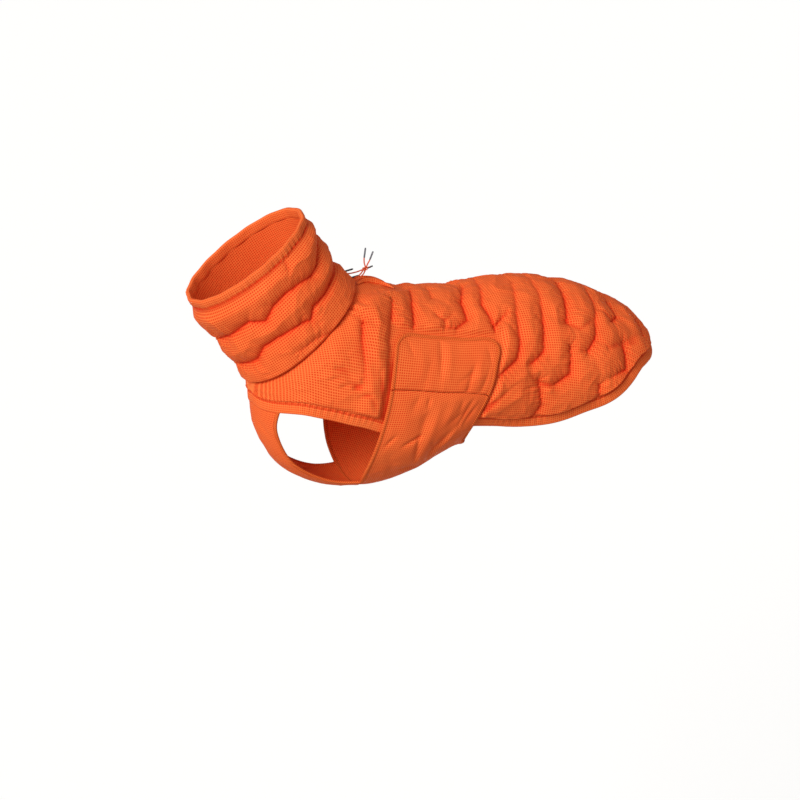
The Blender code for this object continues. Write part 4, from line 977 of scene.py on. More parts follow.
def build_back_panel(quilting):
    """Outer side = form + wall + (puff * (1 - valley) + puckers + crumple - stitch groove + folds),
    where the bracket is lowered near the panel's edge and pressed nearly flat under the tabs."""
    station, angle = panel_grid()
    form = ring_point(TORSO, station, angle)
    x = form[..., 0]
    around = run_from_middle(form)
    upright = run_from_middle(form * (0.0, 1.0, 1.0))
    near_side = seam_paths(PANEL_SEAMS)
    seams = near_side + far_side_copy(near_side, FAR_SIDE_START / 1000)
    valley, pucker, near = seam_relief(x, around, seams, quilting, quilting.panel_reach)
    front = YOKE_FRONT_X + YOKE_TONGUE * np.exp(-(around / YOKE_TONGUE_GIRTH) ** 2)
    quilted = smoothstep(front - 0.012, front + 0.016, x)
    base = quilted * quilting.panel_puff + (1 - quilted) * (YOKE_PUFF + YOKE_SWELL)
    pucker_share = 0.45 + 0.55 * quilted
    quilt_share = 0.4 + 0.6 * quilted
    height = base * (1 - valley)
    height += quilting.pucker * pucker * pucker_share
    height += quilting.crumple * crumple(x, around, 0.030, 1.0) * quilt_share
    height += 0.50 * quilting.crumple * crumple(x, around, 0.012, 5.0)
    folds = fold_relief(x, np.abs(around), PANEL_FOLDS)
    height += folds
    height -= quilting.stitch_groove * near
    edge = panel_edge_distance(station, angle)
    height *= 0.2 + 0.8 * smoothstep(-0.0010, 0.0050, edge)
    pressed = 0.90 * tab_cover(x, angle, 0.0075, 0.0165)
    height = np.maximum(height, PANEL_LOWEST) * (1 - pressed)
    height = np.minimum(height, PANEL_HIGHEST)
    outer = form + ring_normal(TORSO, station, angle) * (PANEL_WALL + height)[..., None]
    outer[:PANEL_CLOSED + 1, -1] = outer[:PANEL_CLOSED + 1, 0]
    uv = np.stack([x, upright], -1)
    # painted shade: deeper colour along the seam lines, in the seams' valleys, along the panel's edges
    # under the casings and in the troughs of the folds
    dark = np.maximum(near ** 1.1, 0.50 * valley ** 2) * (1 - pressed) * quilt_share
    dark = np.maximum(dark, 0.45 * np.exp(-np.maximum(edge, 0.0) / 0.0012) * (1 - pressed))
    dark = np.maximum(dark, fold_shade(folds))
    # painted shade where the cloth dives under the lower part of a tab's sides
    tucked = tab_cover(x, angle, 0.001, 0.0150) * smoothstep(*TAB_EDGE_SHADE_GIRTH, np.abs(around))
    dark = np.maximum(dark, 0.96 * tucked)
    piece = cloth_wall("quilted_back", outer, form, uv, INNER_RATIO, PANEL_CLOSED + 1, dark)
    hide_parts("back_panel")


# ---------------------------------------------------------------- quilted collar

COLLAR_ROWS = 120
COLLAR_COLUMNS = 400
COLLAR_LOWEST = -0.0012     # relief of the outer side over the wall, as on the panel
COLLAR_HIGHEST = 0.0120


def build_collar(quilting):
    """Tube from the neck seam to the rim casing; its relief is made as the back panel's is."""
    share = np.linspace(0.0, 1.0, COLLAR_ROWS + 1)
    foot = NECK_SEAM_GAP / NECK_LENGTH
    stations = foot + share * (CASING_STATION - foot)
    angles = np.linspace(math.pi, -math.pi, COLLAR_COLUMNS + 1)
    station, angle = np.meshgrid(stations, angles, indexing="ij")
    form = ring_point(NECK, station, angle)
    around = run_from_middle(form)
    height_up = station * NECK_LENGTH
    near_side = seam_paths(COLLAR_SEAMS)
    far_side = [seam[seam[:, 0] > FAR_COLLAR_START / 1000] * (-1.0, 1.0, 1.0) for seam in near_side]
    seams = near_side + [seam for seam in far_side if len(seam) > 1]
    valley, pucker, near = seam_relief(around, height_up, seams, quilting, quilting.collar_reach)
    height = quilting.collar_puff * (1 - valley)
    height += quilting.pucker * pucker
    height += quilting.crumple * crumple(around, height_up, 0.034, 11.0)
    height += 0.5 * quilting.crumple * crumple(around, height_up, 0.013, 17.0)
    folds = fold_relief(np.abs(around), height_up, COLLAR_FOLDS)
    height += folds
    height -= quilting.stitch_groove * near
    casing_foot = CASING_STATION * NECK_LENGTH
    # the filling thins out towards the neck seam and the casing
    height *= smoothstep(-0.0025, 0.0065, height_up)
    height *= 1 - 0.74 * smoothstep(casing_foot - 0.0165, casing_foot, height_up)
    height = np.clip(height, COLLAR_LOWEST, COLLAR_HIGHEST)
    height[:, -1] = height[:, 0]
    outer = form + ring_normal(NECK, station, angle) * (PANEL_WALL + height)[..., None]
    outer[:, -1] = outer[:, 0]
    uv = np.stack([around, height_up], -1)
    # painted shade: deeper colour along the seam lines and in their valleys, in a narrow line under the
    # rim casing and in the troughs of the tucks
    dark = np.maximum(near ** 1.1, 0.50 * valley ** 2)
    dark = np.maximum(dark, 0.8 * np.exp(-(casing_foot - height_up) / 0.0014))
    dark = np.maximum(dark, fold_shade(folds))
    piece = cloth_wall("quilted_collar", outer, form, uv, INNER_RATIO, COLLAR_ROWS + 1, dark)
    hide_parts("collar")


# ---------------------------------------------------------------- casings

def gathered_strip(name, centre, away, outward, length, height, thickness, flat, trims, seed):
    """Closed ring of folded casing with a stitched edge: puckers cos(2 pi * run / wave), with an
    uneven wave, that fade away from the stitch line, and a groove and a row of stitches along
    that line.  `thickness` has a value for each place, and `flat` is 1 where the casing lies
    pressed, without puckers.  Its inner edge is tucked 2 mm on to the cloth."""
    sides = 24
    tucked_in = 0.0020
    squareness = 0.48
    gather_wave = 0.0088
    gather_fade = 0.0042
    groove_width = 0.0009
    stitch_shade = 0.0008
    centre = centre - away * tucked_in / 2
    height = height + tucked_in
    across, out = oval(sides, squareness)
    across = across[None, :] * height
    out = np.broadcast_to(out[None, :], (len(centre), sides)) * thickness
    run = length[:, None] + 0.0 * across
    stitch_at = -0.33 * height
    from_stitch = np.abs(across - stitch_at)
    uneven = soft_noise(run / 0.021, run * 0 + seed, seed)
    phase = 2 * math.pi * run / gather_wave + 5.0 * soft_noise(run / 0.030, run * 0, seed + 2.0)
    gather = trims.gather * (0.25 + 1.2 * uneven) * np.cos(phase) * np.exp(-from_stitch / gather_fade)
    slow = 0.6 * trims.gather * (2 * soft_noise(run / 0.034, across / 0.02, seed + 5.0) - 1)
    groove = trims.groove * np.exp(-(from_stitch / groove_width) ** 2)
    loose = (1 - flat)[:, None]
    face = smoothstep(0.0, 0.3, out / thickness)
    out = out + face * ((gather + slow) * loose - groove)
    sections = centre[:, None] + across[..., None] * away[:, None] + out[..., None] * outward[:, None]
    # painted shade along the stitch line's groove
    dark = 0.8 * face * np.exp(-(from_stitch / stitch_shade) ** 2)
    piece = tube_piece(name, sections, "ripstop_nylon_trim", True, dark)
    cosine = abs(2 * stitch_at / height) ** (1 / squareness)
    half = thickness / 2 * math.sqrt(1 - cosine ** 2) ** squareness
    line = centre + away * stitch_at + outward * (half - 0.6 * trims.groove)
    stitch_row(name + "_stitches", line, outward, trims)
    return piece


def hem_run():
    """Stations and angles all round the panel's lower edge, from the chest back to the chest."""
    armhole_station = 3.0
    front = np.linspace(CHEST_STATION, armhole_station, 60)
    back = np.linspace(armhole_station, LAST_STATION, 260)
    stations = np.concatenate([front, back[1:]])
    left = np.stack([stations, hem_angle(stations)], -1)
    left[0, 1] = math.pi
    rear_angle = hem_angle(LAST_STATION)
    rear_angles = np.linspace(rear_angle, -rear_angle, 40)[1:-1]
    rear = np.stack([np.full_like(rear_angles, LAST_STATION), rear_angles], -1)
    right = left[::-1] * (1, -1)
    run = np.concatenate([left, rear, right[:-1]])
    run[:, 0] = notched(run[:, 0], run[:, 1])
    return run


def hem_hang(edge):
    """How far the casing hangs to upright: behind the belly band, and not over the tail."""
    behind_band = smoothstep(0.020, 0.060, edge[:, 0])
    at_the_side = smoothstep(0.060, 0.085, np.abs(edge[:, 1]))
    before_tail = 1 - smoothstep(0.120, 0.200, edge[:, 0])
    return HEM_HANG * behind_band * at_the_side * before_tail


def build_hem_casing(trims):
    """The elastic hem, one closed gathered strip round the panel's lower edge, flatter where it
    passes under a tab."""
    run = hem_run()
    outward = ring_normal(TORSO, run[:, 0], run[:, 1])
    edge = ring_point(TORSO, run[:, 0], run[:, 1]) + outward * PANEL_WALL / 2
    inside = ring_point(TORSO, run[:, 0] * 0.97, run[:, 1] * 0.97)
    centre, away, outward, length = edge_frame(edge, outward, inside, HEM_HEIGHT, 1100, True, hem_hang)
    flat = tab_cover(centre[:, 0], np.full(len(centre), math.radians(100.0)), 0.010, 0.024)
    thickness = (CASING_THICKNESS * (1 - 0.14 * flat))[:, None]
    piece = gathered_strip("gathered_hem", centre, away, outward, length, HEM_HEIGHT,
                           thickness, flat, trims, 3.0)
    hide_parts("hem_casing")


def build_rim_casing(trims):
    """The collar's folded rim, a closed gathered strip."""
    count = 460
    angles = np.linspace(math.pi, -math.pi, count + 1)[:-1]
    station = np.full_like(angles, (CASING_STATION + 1) / 2)
    outward = ring_normal(NECK, station, angles)
    wave = 0.0007 * np.cos(angles * 16)
    thicker = 0.0013
    centre = skin(NECK, station, angles, PANEL_WALL / 2 + thicker / 2 + wave)
    probe = 0.02
    away = unit(ring_point(NECK, station + probe, angles) - ring_point(NECK, station - probe, angles))
    foot = ring_point(NECK, np.full_like(angles, CASING_STATION), angles)
    rim = ring_point(NECK, np.ones_like(angles), angles)
    height = np.linalg.norm(rim - foot, axis=-1).mean() - 2 * EDGE_GAP
    thickness = np.full((count, 1), CASING_THICKNESS + thicker)
    piece = gathered_strip("gathered_collar_rim", centre, away, outward, run_along(centre), height,
                           thickness, np.zeros(count), trims, 9.0)
    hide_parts("collar_rim_casing")


def stitch_row(name, line, outward, trims):
    """Closed row of thread stitches: each is a small six-sided spindle laid on the cloth.

    A stitch has rings at -1, -0.6, 0, 0.6 and 1 of its half length, with radii that follow a
    half circle, so its ends sink into the cloth."""
    run = np.concatenate([line, line[:1]])
    total = np.linalg.norm(np.diff(run, axis=0), axis=1).sum()
    count = int(total / trims.stitch_pitch)
    data = even_path(np.concatenate([line, outward], axis=1), count, True)
    place, up = data[:, :3], unit(data[:, 3:6])
    along = unit(direction(place, True))
    side = unit(np.cross(along, up))
    half = trims.stitch_pitch * 0.38
    radius = trims.thread / 2
    rings = np.array((-1.0, -0.6, 0.0, 0.6, 1.0))
    swell = np.array((0.25, 0.85, 1.0, 0.85, 0.25)) * radius
    turn = 2 * math.pi * np.arange(6) / 6
    middle = place[:, None, None] + along[:, None, None] * (rings * half)[None, :, None, None]
    ring_side = side[:, None, None] * (swell[:, None] * np.cos(turn))[None, ..., None]
    ring_up = up[:, None, None] * (swell[:, None] * np.sin(turn))[None, ..., None]
    points = (middle + ring_side + ring_up).reshape(-1, 3)
    wrap = np.arange(7) % 6
    one = grid_quads(np.arange(30).reshape(5, 6)[:, wrap])
    steps = (np.arange(count) * 30)[:, None, None]
    faces = (one[None] + steps).reshape(-1, 4)
    first_cap = (np.arange(6)[None, None] + steps).reshape(-1, 6)
    last_cap = (np.arange(29, 23, -1)[None, None] + steps).reshape(-1, 6)
    flat = np.zeros((len(points), 2))
    piece = mesh_piece(name, points, [faces, first_cap, last_cap], np.arange(len(points)), flat,
                       "polyester_thread")


# ---------------------------------------------------------------- bib, belly band and tabs

BIB_TUCK = 0.16             # stations that the bib runs up behind the hem casing,
BIB_REACH = 0.0050          # and metres that it runs in under the belly band's edge
BAND_RELIEF = (-0.0022, 0.0042)     # its deepest trough and highest ridge, over the wall
TAB_RELIEF = (-0.0020, 0.0034)


def band_lift(angle):
    """How far the belly band and the tabs stand off the torso form, in metres."""
    return read_table(BAND_LIFT, np.abs(np.degrees(angle)), "lift")


def under_angle(offset):
    """Angle from the offset to the centre line underneath, positive to the left."""
    return np.where(offset >= 0, math.pi - offset, -math.pi - offset)


def seam_angle(share):
    """Angle of the seam between a tab and the belly band, at a share of its width."""
    return bowed(TAB_SEAM_ANGLES, TAB_SEAM_BOW, share)


def band_point_grid(angle, share, lift):
    """Points of the belly band or a tab: share 0 is its front edge and 1 its rear edge."""
    side = np.where(angle < 0, -1.0, 1.0)
    even = np.abs(angle)
    front = read_table(BAND, np.degrees(even), "front_x")
    rear = read_table(BAND, np.degrees(even), "rear_x")
    x = front * (1 - share) + rear * share
    points = skin(TORSO, station_at(x, even), even, lift)
    points[..., 1] *= side
    return points


def chest_top_station(angle):
    """Station just below the hem casing, for angles near the chest's centre line."""
    stations = np.linspace(CHEST_STATION, 4.5, 240)
    run = hem_run()[::3]
    edge = ring_point(TORSO, run[:, 0], run[:, 1])
    limit = HEM_HEIGHT + 1.5 * EDGE_GAP + 3 * GAP
    grid_s, grid_a = np.meshgrid(stations, angle, indexing="ij")
    points = ring_point(TORSO, grid_s, grid_a)
    clear = np.full(grid_s.shape, 1.0)
    for place in edge:
        clear = np.minimum(clear, np.linalg.norm(points - place, axis=-1))
    past = np.abs(grid_a) > hem_angle(grid_s)
    good = (grid_s > CHEST_STATION + 0.02) & past & (clear > limit)
    return stations[good.argmax(axis=0)]


def bib_grid(rows, columns):
    """Stations, angles and offsets from the centre line, from the front hem to the belly band."""
    part = np.linspace(0.0, 1.0, rows + 1)
    half = np.radians(read_table(BIB, part, "half_angle"))
    offset = half[:, None] * np.linspace(1.0, -1.0, columns + 1)[None, :]
    angle = math.pi - np.abs(offset)
    top = chest_top_station(angle[0]) - BIB_TUCK
    front_x = read_table(BAND, np.degrees(angle[-1]), "front_x") - BINDING_WIDTH - 4 * GAP + BIB_REACH
    end = station_at(front_x, angle[-1])
    station = top[None, :] * (1 - part[:, None]) + end[None, :] * part[:, None]
    return station, angle, offset, part


def build_chest_bib():
    """Thin shell on the bib's form: wall + swell * sin(pi * across) + folds, 0 at all edges."""
    station, angle, offset, part = bib_grid(140, 60)
    across = np.linspace(0.0, 1.0, offset.shape[1])[None, :]
    side = np.where(offset < 0, -1.0, 1.0)
    form = ring_point(TORSO, station, angle)
    normal = ring_normal(TORSO, station, angle)
    both_sides = form.copy()
    both_sides[..., 1] *= side
    around = run_from_middle(both_sides)
    down = run_down(both_sides)[:, None] + 0.0 * around
    edge = ends_faded(0.10, across) * ends_faded(0.05, part)[:, None]
    relief = BIB_SWELL * np.sin(math.pi * across) * np.sin(math.pi * part)[:, None]
    relief = relief + fold_relief(around, down, BIB_FOLDS) * edge
    relief += 0.0005 * crumple(around, down, 0.026, 21.0) * edge
    outer = form + normal * (BIB_WALL + np.maximum(relief, -0.001))[..., None]
    outer[..., 1] *= side
    uv = np.stack([around, down], -1)
    piece = cloth_wall("chest_bib_cloth", outer, both_sides, uv, 2, 0, np.zeros(around.shape))
    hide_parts("chest_bib")
    return piece, float(around[:, 0].mean() - around[:, -1].mean()), float(down[-1, 0])


def build_belly_band():
    """Thin shell from the left seam, under the belly, to the right seam, with its folds."""
    share = np.linspace(0.0, 1.0, 91)[:, None]
    turn = np.linspace(-1.0, 1.0, 301)[None, :]
    reach = math.pi - seam_angle(share) - SEAM_HALF_ANGLE
    offset = -reach * turn
    angle = under_angle(offset)
    base = band_lift(angle)
    form = band_point_grid(angle, share, base)
    around = run_from_middle(form)
    wide = run_down(form)[:, None] + 0.0 * around
    from_seam = np.abs(around[:, :1]) - np.abs(around)
    edge = ends_faded(0.08, share) * smoothstep(0.0, 0.012, from_seam)
    relief = fold_relief(wide, from_seam, BAND_FOLDS) * edge
    relief += 0.0007 * crumple(wide, around, 0.030, 31.0) * edge
    relief += 0.0014 * np.sin(math.pi * share) * edge
    relief -= 0.0011 * np.exp(-from_seam / 0.0022)
    outer = band_point_grid(angle, share, base + BAND_WALL + np.clip(relief, *BAND_RELIEF))
    uv = np.stack([wide, around], -1)
    # painted shade: deeper colour in the troughs of the band's folds
    piece = cloth_wall("belly_band_cloth", outer, form, uv, 3, 0, fold_shade(relief))
    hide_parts("belly_band")
    return piece, float(wide[-1, 0]), float(around[:, 0].mean() - around[:, -1].mean())


def tab_outline(down, share):
    """Share of the width after the rounded upper corners; `down` is metres from the top edge."""
    cut = TAB_CORNER - np.sqrt(np.maximum(TAB_CORNER ** 2 - np.maximum(TAB_CORNER - down, 0) ** 2, 0))
    cut = cut / TAB_WIDTH
    return cut + share * (1 - 2 * cut)


def tab_angle(share, down):
    """Angle at a share of the tab's width and a share of the way down to its seam."""
    top = bowed(TAB_TOP_ANGLES, TAB_TOP_BOW, share)
    return top * (1 - down) + (seam_angle(share) - SEAM_HALF_ANGLE) * down


def build_tab(side_name, side):
    """Round-cornered flap: a thin shell with its own folds; its middle is bare cloth."""
    share = np.linspace(0.0, 1.0, 121)[:, None]
    even = np.linspace(0.0, 1.0, 81)[None, :]
    down = even ** 1.35
    width_share = tab_outline(down * TAB_DROP, share)
    angle = tab_angle(width_share, down)
    lift = band_lift(angle)
    wide = width_share * TAB_WIDTH
    drop = down * TAB_DROP + 0.0 * wide
    edge = ends_faded(0.05, share)
    edge = edge * smoothstep(0.0, 0.05, down) * smoothstep(0.0, 0.045, 1 - down)
    relief = fold_relief(wide, drop, TAB_FOLDS) * edge
    relief += 0.0005 * crumple(wide, drop, 0.028, 41.0 + side) * edge
    relief += 0.0013 * np.sin(math.pi * share) * np.sin(math.pi * down) ** 0.5 * edge
    relief -= 0.0011 * np.exp(-(1 - down) * TAB_DROP / 0.0022)
    form = band_point_grid(angle * side, width_share, lift)
    rise = lift + TAB_WALL + np.clip(relief, *TAB_RELIEF)
    outer = band_point_grid(angle * side, width_share, rise)
    uv = np.stack([wide, drop], -1)
    # painted shade: deeper colour in the troughs of the tab's folds
    piece = cloth_wall(f"{side_name}_tab_cloth", outer, form, uv, 4, 0, fold_shade(relief))
    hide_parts(f"{side_name}_closure_tab")
    return piece


# ---------------------------------------------------------------- corded edges

def corded_strip(name, node, centre, away, outward, length, width, trims):
    """Overlocked cord: an oval strip whose radius swells by ridge * |cos(pi * (run / pitch + turn))|,
    with the turn round the section, so its thread lies at a slant.  It closes over the cloth's edge."""
    sides = 16
    tucked_in = 0.0010
    centre = centre - away * tucked_in
    across, out = oval(sides)
    turn = np.arange(sides) / sides
    phase = math.pi * (length[:, None] / trims.cord_pitch + turn[None, :])
    swell = 1 - trims.cord_ridge * (1 - np.abs(np.cos(phase)))
    sections = (centre[:, None] + (across[None, :] * width * swell)[..., None] * away[:, None]
                + (out[None, :] * BINDING_THICKNESS * swell)[..., None] * outward[:, None])
    piece = tube_piece(name, sections, "overlocked_polyester_edge", False)
    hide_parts(node)
    return piece


def band_edge_frame(share, angle, count):
    """Frame of a corded edge along a run of the band form, from width shares and signed angles."""
    lift = band_lift(angle) + BAND_WALL / 2 + BINDING_RISE
    probe = 0.001
    edge = band_point_grid(angle, share, lift)
    outward = band_point_grid(angle, share, lift + probe) - edge
    middle = np.sign(angle) * math.radians(112.0)
    inside = band_point_grid(angle + 0.05 * (middle - angle), 0.5 + 0.9 * (share - 0.5), lift)
    return edge_frame(edge, outward, inside, BINDING_WIDTH, count, False)


def build_tab_binding(side_name, side, trims):
    """Up the tab's front edge, over its rounded top and down its rear edge."""
    corner_share = 0.3
    straight = np.linspace(1.0, corner_share, 30)
    corner = corner_share * (1 - np.sin(np.linspace(0.0, math.pi / 2, 30)))[1:]
    rise = np.concatenate([straight, corner])
    front = tab_outline(rise * TAB_DROP, 0.0)
    rear = tab_outline(rise[::-1] * TAB_DROP, 1.0)
    top = np.linspace(front[-1], rear[0], 40)[1:-1]
    share = np.concatenate([front, top, rear])
    down = np.concatenate([rise, np.zeros_like(top), rise[::-1]])
    parts = band_edge_frame(share, tab_angle(share, down) * side, 420)
    node = f"{side_name}_tab_binding"
    return corded_strip(f"{side_name}_tab_cord_edge", node, *parts, BINDING_WIDTH, trims)


def build_belly_binding(end_name, share, trims):
    """Front (share 0) or rear (share 1) edge of the belly band, from seam to seam underneath."""
    reach = math.pi - seam_angle(share) - 2 * SEAM_HALF_ANGLE
    offset = np.linspace(reach, -reach, 160)
    parts = band_edge_frame(np.full_like(offset, float(share)), under_angle(offset), 460)
    node = f"belly_{end_name}_binding"
    return corded_strip(f"belly_{end_name}_cord_edge", node, *parts, BINDING_WIDTH, trims)


def build_bib_binding(side_name, side, trims):
    """Corded side edge of the chest bib."""
    station, angle, _, _ = bib_grid(80, 2)
    station, angle = station[:, 0], angle[:, 0]
    outward = ring_normal(TORSO, station, angle)
    edge = ring_point(TORSO, station, angle) + outward * (BIB_WALL / 2 + BINDING_RISE)
    inside = ring_point(TORSO, station, angle + 0.06)
    mirror = np.array((1.0, side, 1.0))
    parts = edge_frame(edge * mirror, outward * mirror, inside * mirror, BIB_BINDING_WIDTH, 260, False)
    node = f"{side_name}_bib_binding"
    return corded_strip(f"{side_name}_bib_cord_edge", node, *parts, BIB_BINDING_WIDTH, trims)


def build_lip(side_name, side):
    """Raised lip of the leash slit: an oval strip, creased lengthwise where the cloth is folded."""
    x = np.linspace(LIP[0].x, LIP[-1].x, 90)
    angle = np.radians(read_table(LIP, x, "angle")) * side
    rise = np.maximum(read_table(LIP, x, "rise"), 0.0)
    station = station_at(x, angle)
    outward = ring_normal(TORSO, station, angle)
    height = LIP_WIDTH + rise
    centre = skin(TORSO, station, angle, PANEL_WALL + YOKE_PUFF + 1.5 * GAP + height / 2)
    away = unit(np.cross(direction(centre, False), outward))
    across, out = oval(18)
    run = np.linspace(0.0, 1.0, len(x))[:, None]
    ends = np.clip(np.sin(math.pi * np.clip(run * 1.04 - 0.02, 0, 1)) ** 0.35, 0.25, 1.0)
    wave = 1 + 0.07 * np.sin(run * 43 + side) + 0.05 * np.sin(run * 91)
    crease = 1 - 0.16 * np.exp(-((out[None, :] - 0.2) / 0.12) ** 2)
    wide = (across[None, :] * LIP_WIDTH * crease * wave)[..., None] * away[:, None]
    tall = (out[None, :] * height[:, None] * ends)[..., None] * outward[:, None]
    piece = tube_piece(f"{side_name}_slit_lip_cloth", centre[:, None] + wide + tall,
                       "ripstop_nylon_trim", False)
    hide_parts(f"{side_name}_slit_lip")


# ---------------------------------------------------------------- drawcords

def smooth_route(places, count):
    """Smooth curve through a few places, by the table's cubic over the length, at even steps."""
    places = np.array(places, float)
    length = run_along(places)
    rows = table("at x y z", *np.column_stack([length, places]))
    fine = np.linspace(0.0, length[-1], 8 * count)
    dense = np.stack([read_table(rows, fine, axis) for axis in "xyz"], -1)
    return even_path(dense, count, False)


def tube_frame(route):
    """Side and up directions along a route: the side is the route's direction crossed with a
    steady up direction that is never along it."""
    along = unit(direction(route, False))
    steady = np.array((0.35, 0.90, 0.25))
    side = unit(np.cross(along, steady))
    return side, np.cross(side, along)


def circles(side, up, sides):
    """Unit circles across a route, as cos * side + sin * up, each of so many places."""
    turn = 2 * math.pi * np.arange(sides) / sides
    return np.cos(turn)[None, :, None] * side[:, None] + np.sin(turn)[None, :, None] * up[:, None]


def round_piece(name, route, radii, sides, material):
    """Tube with its own radius at each place of the route, as a sleeve, barb or cord."""
    ring = circles(*tube_frame(route), sides)
    return tube_piece(name, route[:, None] + ring * radii[:, None, None], material, False)


def build_sleeve(name, node, ends, radius, rings, material, slot_name):
    """Sleeve with rounded ends, and low rings round it: radius * (1 - x^10)^0.5, with x from -1
    to 1 along it, times ripples by a cosine."""
    route = smooth_route(ends, 46)
    share = np.linspace(-1.0, 1.0, len(route))
    rounded = np.sqrt(np.maximum(1 - share ** 10, 0.02))
    ripples = 1 - 0.05 * (0.5 - 0.5 * np.cos(rings * math.pi * share))
    piece = round_piece(name, route, radius * (rounded * ripples), 14, material)
    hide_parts(node)
    return piece


def inside_end(ends):
    """Where the cord ends inside its sleeve: seven tenths of the way along it."""
    return tuple(np.array(ends[0]) * 0.3 + np.array(ends[1]) * 0.7)


def build_knot():
    """Overhand knot: a trefoil, (sin t + 2 sin 2t, -sin 3t, cos t - 2 cos 2t), scaled to the knot."""
    turn = np.linspace(0.0, 2 * math.pi, 97)[:-1]
    shape = np.stack([np.sin(turn) + 2 * np.sin(2 * turn), -np.sin(3 * turn),
                      np.cos(turn) - 2 * np.cos(2 * turn)], -1)
    radius = CORD / 2 * 0.92
    room = np.array(KNOT_RADII) - radius
    route = np.array(KNOT) + shape / np.abs(shape).max(axis=0) * room
    along = unit(direction(route, True))
    out = unit(route - np.array(KNOT))
    side = unit(np.cross(along, out))
    sections = route[:, None] + radius * circles(side, np.cross(side, along), 10)
    piece = tube_piece("drawcord_overhand_knot", sections, "braided_elastic", True)
    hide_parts("drawcord_knot")
    return piece


GREY_SLEEVE = ("heat_shrunk_sleeve", "grey_cord_tip")       # material and slot
DARK_BARB = ("moulded_nylon_barb", "black_cord_barb")
# name, node, ends, radius and ripples of each sleeve and barb, then its material and slot
SLEEVES = (
    ("tall_end_sleeve", "tall_tip", TALL_TIP, TIP / 2, 9, *GREY_SLEEVE),
    ("leaning_end_sleeve", "leaning_tip", LEANING_TIP, TIP / 2, 8, *GREY_SLEEVE),
    ("short_end_sleeve", "short_tip", SHORT_TIP, TIP / 2 * 0.92, 5, *DARK_BARB),
    ("near_barb_end", "near_barb", NEAR_BARB, TIP / 2, 6, *DARK_BARB),
    ("far_barb_end", "far_barb", FAR_BARB, TIP / 2, 6, *DARK_BARB),
)


def build_cord(name, nodes, places):
    """Free cord as a mesh tube along one smooth route."""
    route = smooth_route(places, 60)
    piece = round_piece(name, route, np.full(len(route), CORD / 2), 12, "braided_elastic")
    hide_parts(*nodes)


# ---------------------------------------------------------------- sizes and colours that a user sets

def length_size(name, description, default, low, high):
    """Property for one length in metres."""
    return bpy.props.FloatProperty(name=name, description=description, default=default, min=low, max=high,
                                   unit="LENGTH", subtype="DISTANCE", precision=5)


def colour_choice(name, description, code):
    """Property for one colour, given as an sRGB hex value."""
    return bpy.props.FloatVectorProperty(name=name, description=description, default=hex_colour(code),
                                         size=3, min=0.0, max=1.0, subtype="COLOR")


class CoatQuilting(bpy.types.PropertyGroup):
    """Sizes of the padded, quilted cloth."""
    panel_puff: length_size(
        "Back puff", "How far the filling lifts the back between two seams", 0.0096, 0.0, 0.012)
    collar_puff: length_size(
        "Collar puff", "How far the filling lifts the collar between two seams", 0.0100, 0.0, 0.012)
    panel_reach: length_size(
        "Back seam reach", "How far from a seam the back has swollen up", 0.0170, 0.003, 0.03)
    collar_reach: length_size(
        "Collar seam reach", "How far from a seam the collar has swollen up", 0.0150, 0.003, 0.03)
    crease: bpy.props.FloatProperty(
        name="Seam crease", description="Share of a seam's depth that lies in its narrow crease",
        default=0.50, min=0.0, max=1.0)
    stitch_groove: length_size(
        "Stitch groove", "Depth of the narrow groove along a seam", 0.0007, 0.0, 0.002)
    pucker: length_size("Puckers", "Height of the wrinkles that start at a seam", 0.00120, 0.0, 0.003)
    crumple: length_size("Crumple", "Height of the soft creases between the seams", 0.00118, 0.0, 0.003)


class CoatTrims(bpy.types.PropertyGroup):
    """Sizes of the casings, corded edges and stitches."""
    gather: length_size("Gathers", "Height of the puckers along a casing", 0.00078, 0.0, 0.0015)
    groove: length_size("Casing groove", "Depth of the stitch line along a casing", 0.00090, 0.0, 0.0015)
    stitch_pitch: length_size("Stitch length", "From one stitch to the next", 0.0034, 0.001, 0.01)
    thread: length_size("Thread", "Diameter of the sewing thread", 0.0007, 0.0002, 0.002)
    cord_pitch: length_size(
        "Edge cord pitch", "Along the edge, one turn of its thread", 0.0030, 0.001, 0.01)
    cord_ridge: bpy.props.FloatProperty(
        name="Edge cord relief", description="Share of its radius that the edge dips between turns",
        default=0.20, min=0.0, max=0.5)


class CoatColours(bpy.types.PropertyGroup):
    """Colours of the cloth and the trims."""
    cloth_cell: colour_choice("Cloth", "The weave between its thicker threads", "#DA3712")
    # the thicker threads' colour: the weave's pattern, lightened as a painted sheen
    cloth_thread_with_sheen: colour_choice("Cloth threads", "The thicker threads of the weave", "#F87C3E")
    # painted shade in the seams, folds, tab edges and stitch lines; a broad noise also mottles the cloth
    # towards this colour
    cloth_shade_and_mottle: colour_choice("Cloth in folds", "Where the cloth folds in on itself", "#D2180A")
    trim_cell: colour_choice("Casing", "The cloth of the casings between its thicker threads", "#E04014")
    # the casing threads' colour also carries a painted sheen
    trim_thread_with_sheen: colour_choice("Casing threads", "The thicker threads of the casings", "#F88444")
    # painted shade between the turns of thread
    edge_groove_shade: colour_choice("Edge cord, dark", "Between the turns of thread on a corded edge", "#BA3410")
    edge_light: colour_choice("Edge cord, light", "The turns of thread on a corded edge", "#F27638")
    thread: colour_choice("Sewing thread", "The stitches", "#D6451C")
    # painted shade between the braid's threads
    cord_groove_shade: colour_choice("Drawcord, dark", "Between the threads of the drawcord's braid", "#C93A1A")
    cord_light: colour_choice("Drawcord, light", "The threads of the drawcord's braid", "#FF7B48")
    sleeve: colour_choice("End sleeve", "The grey sleeves on the drawcord", "#565B61")
    barb: colour_choice("Barb", "The dark moulded ends at the collar", "#26262A")


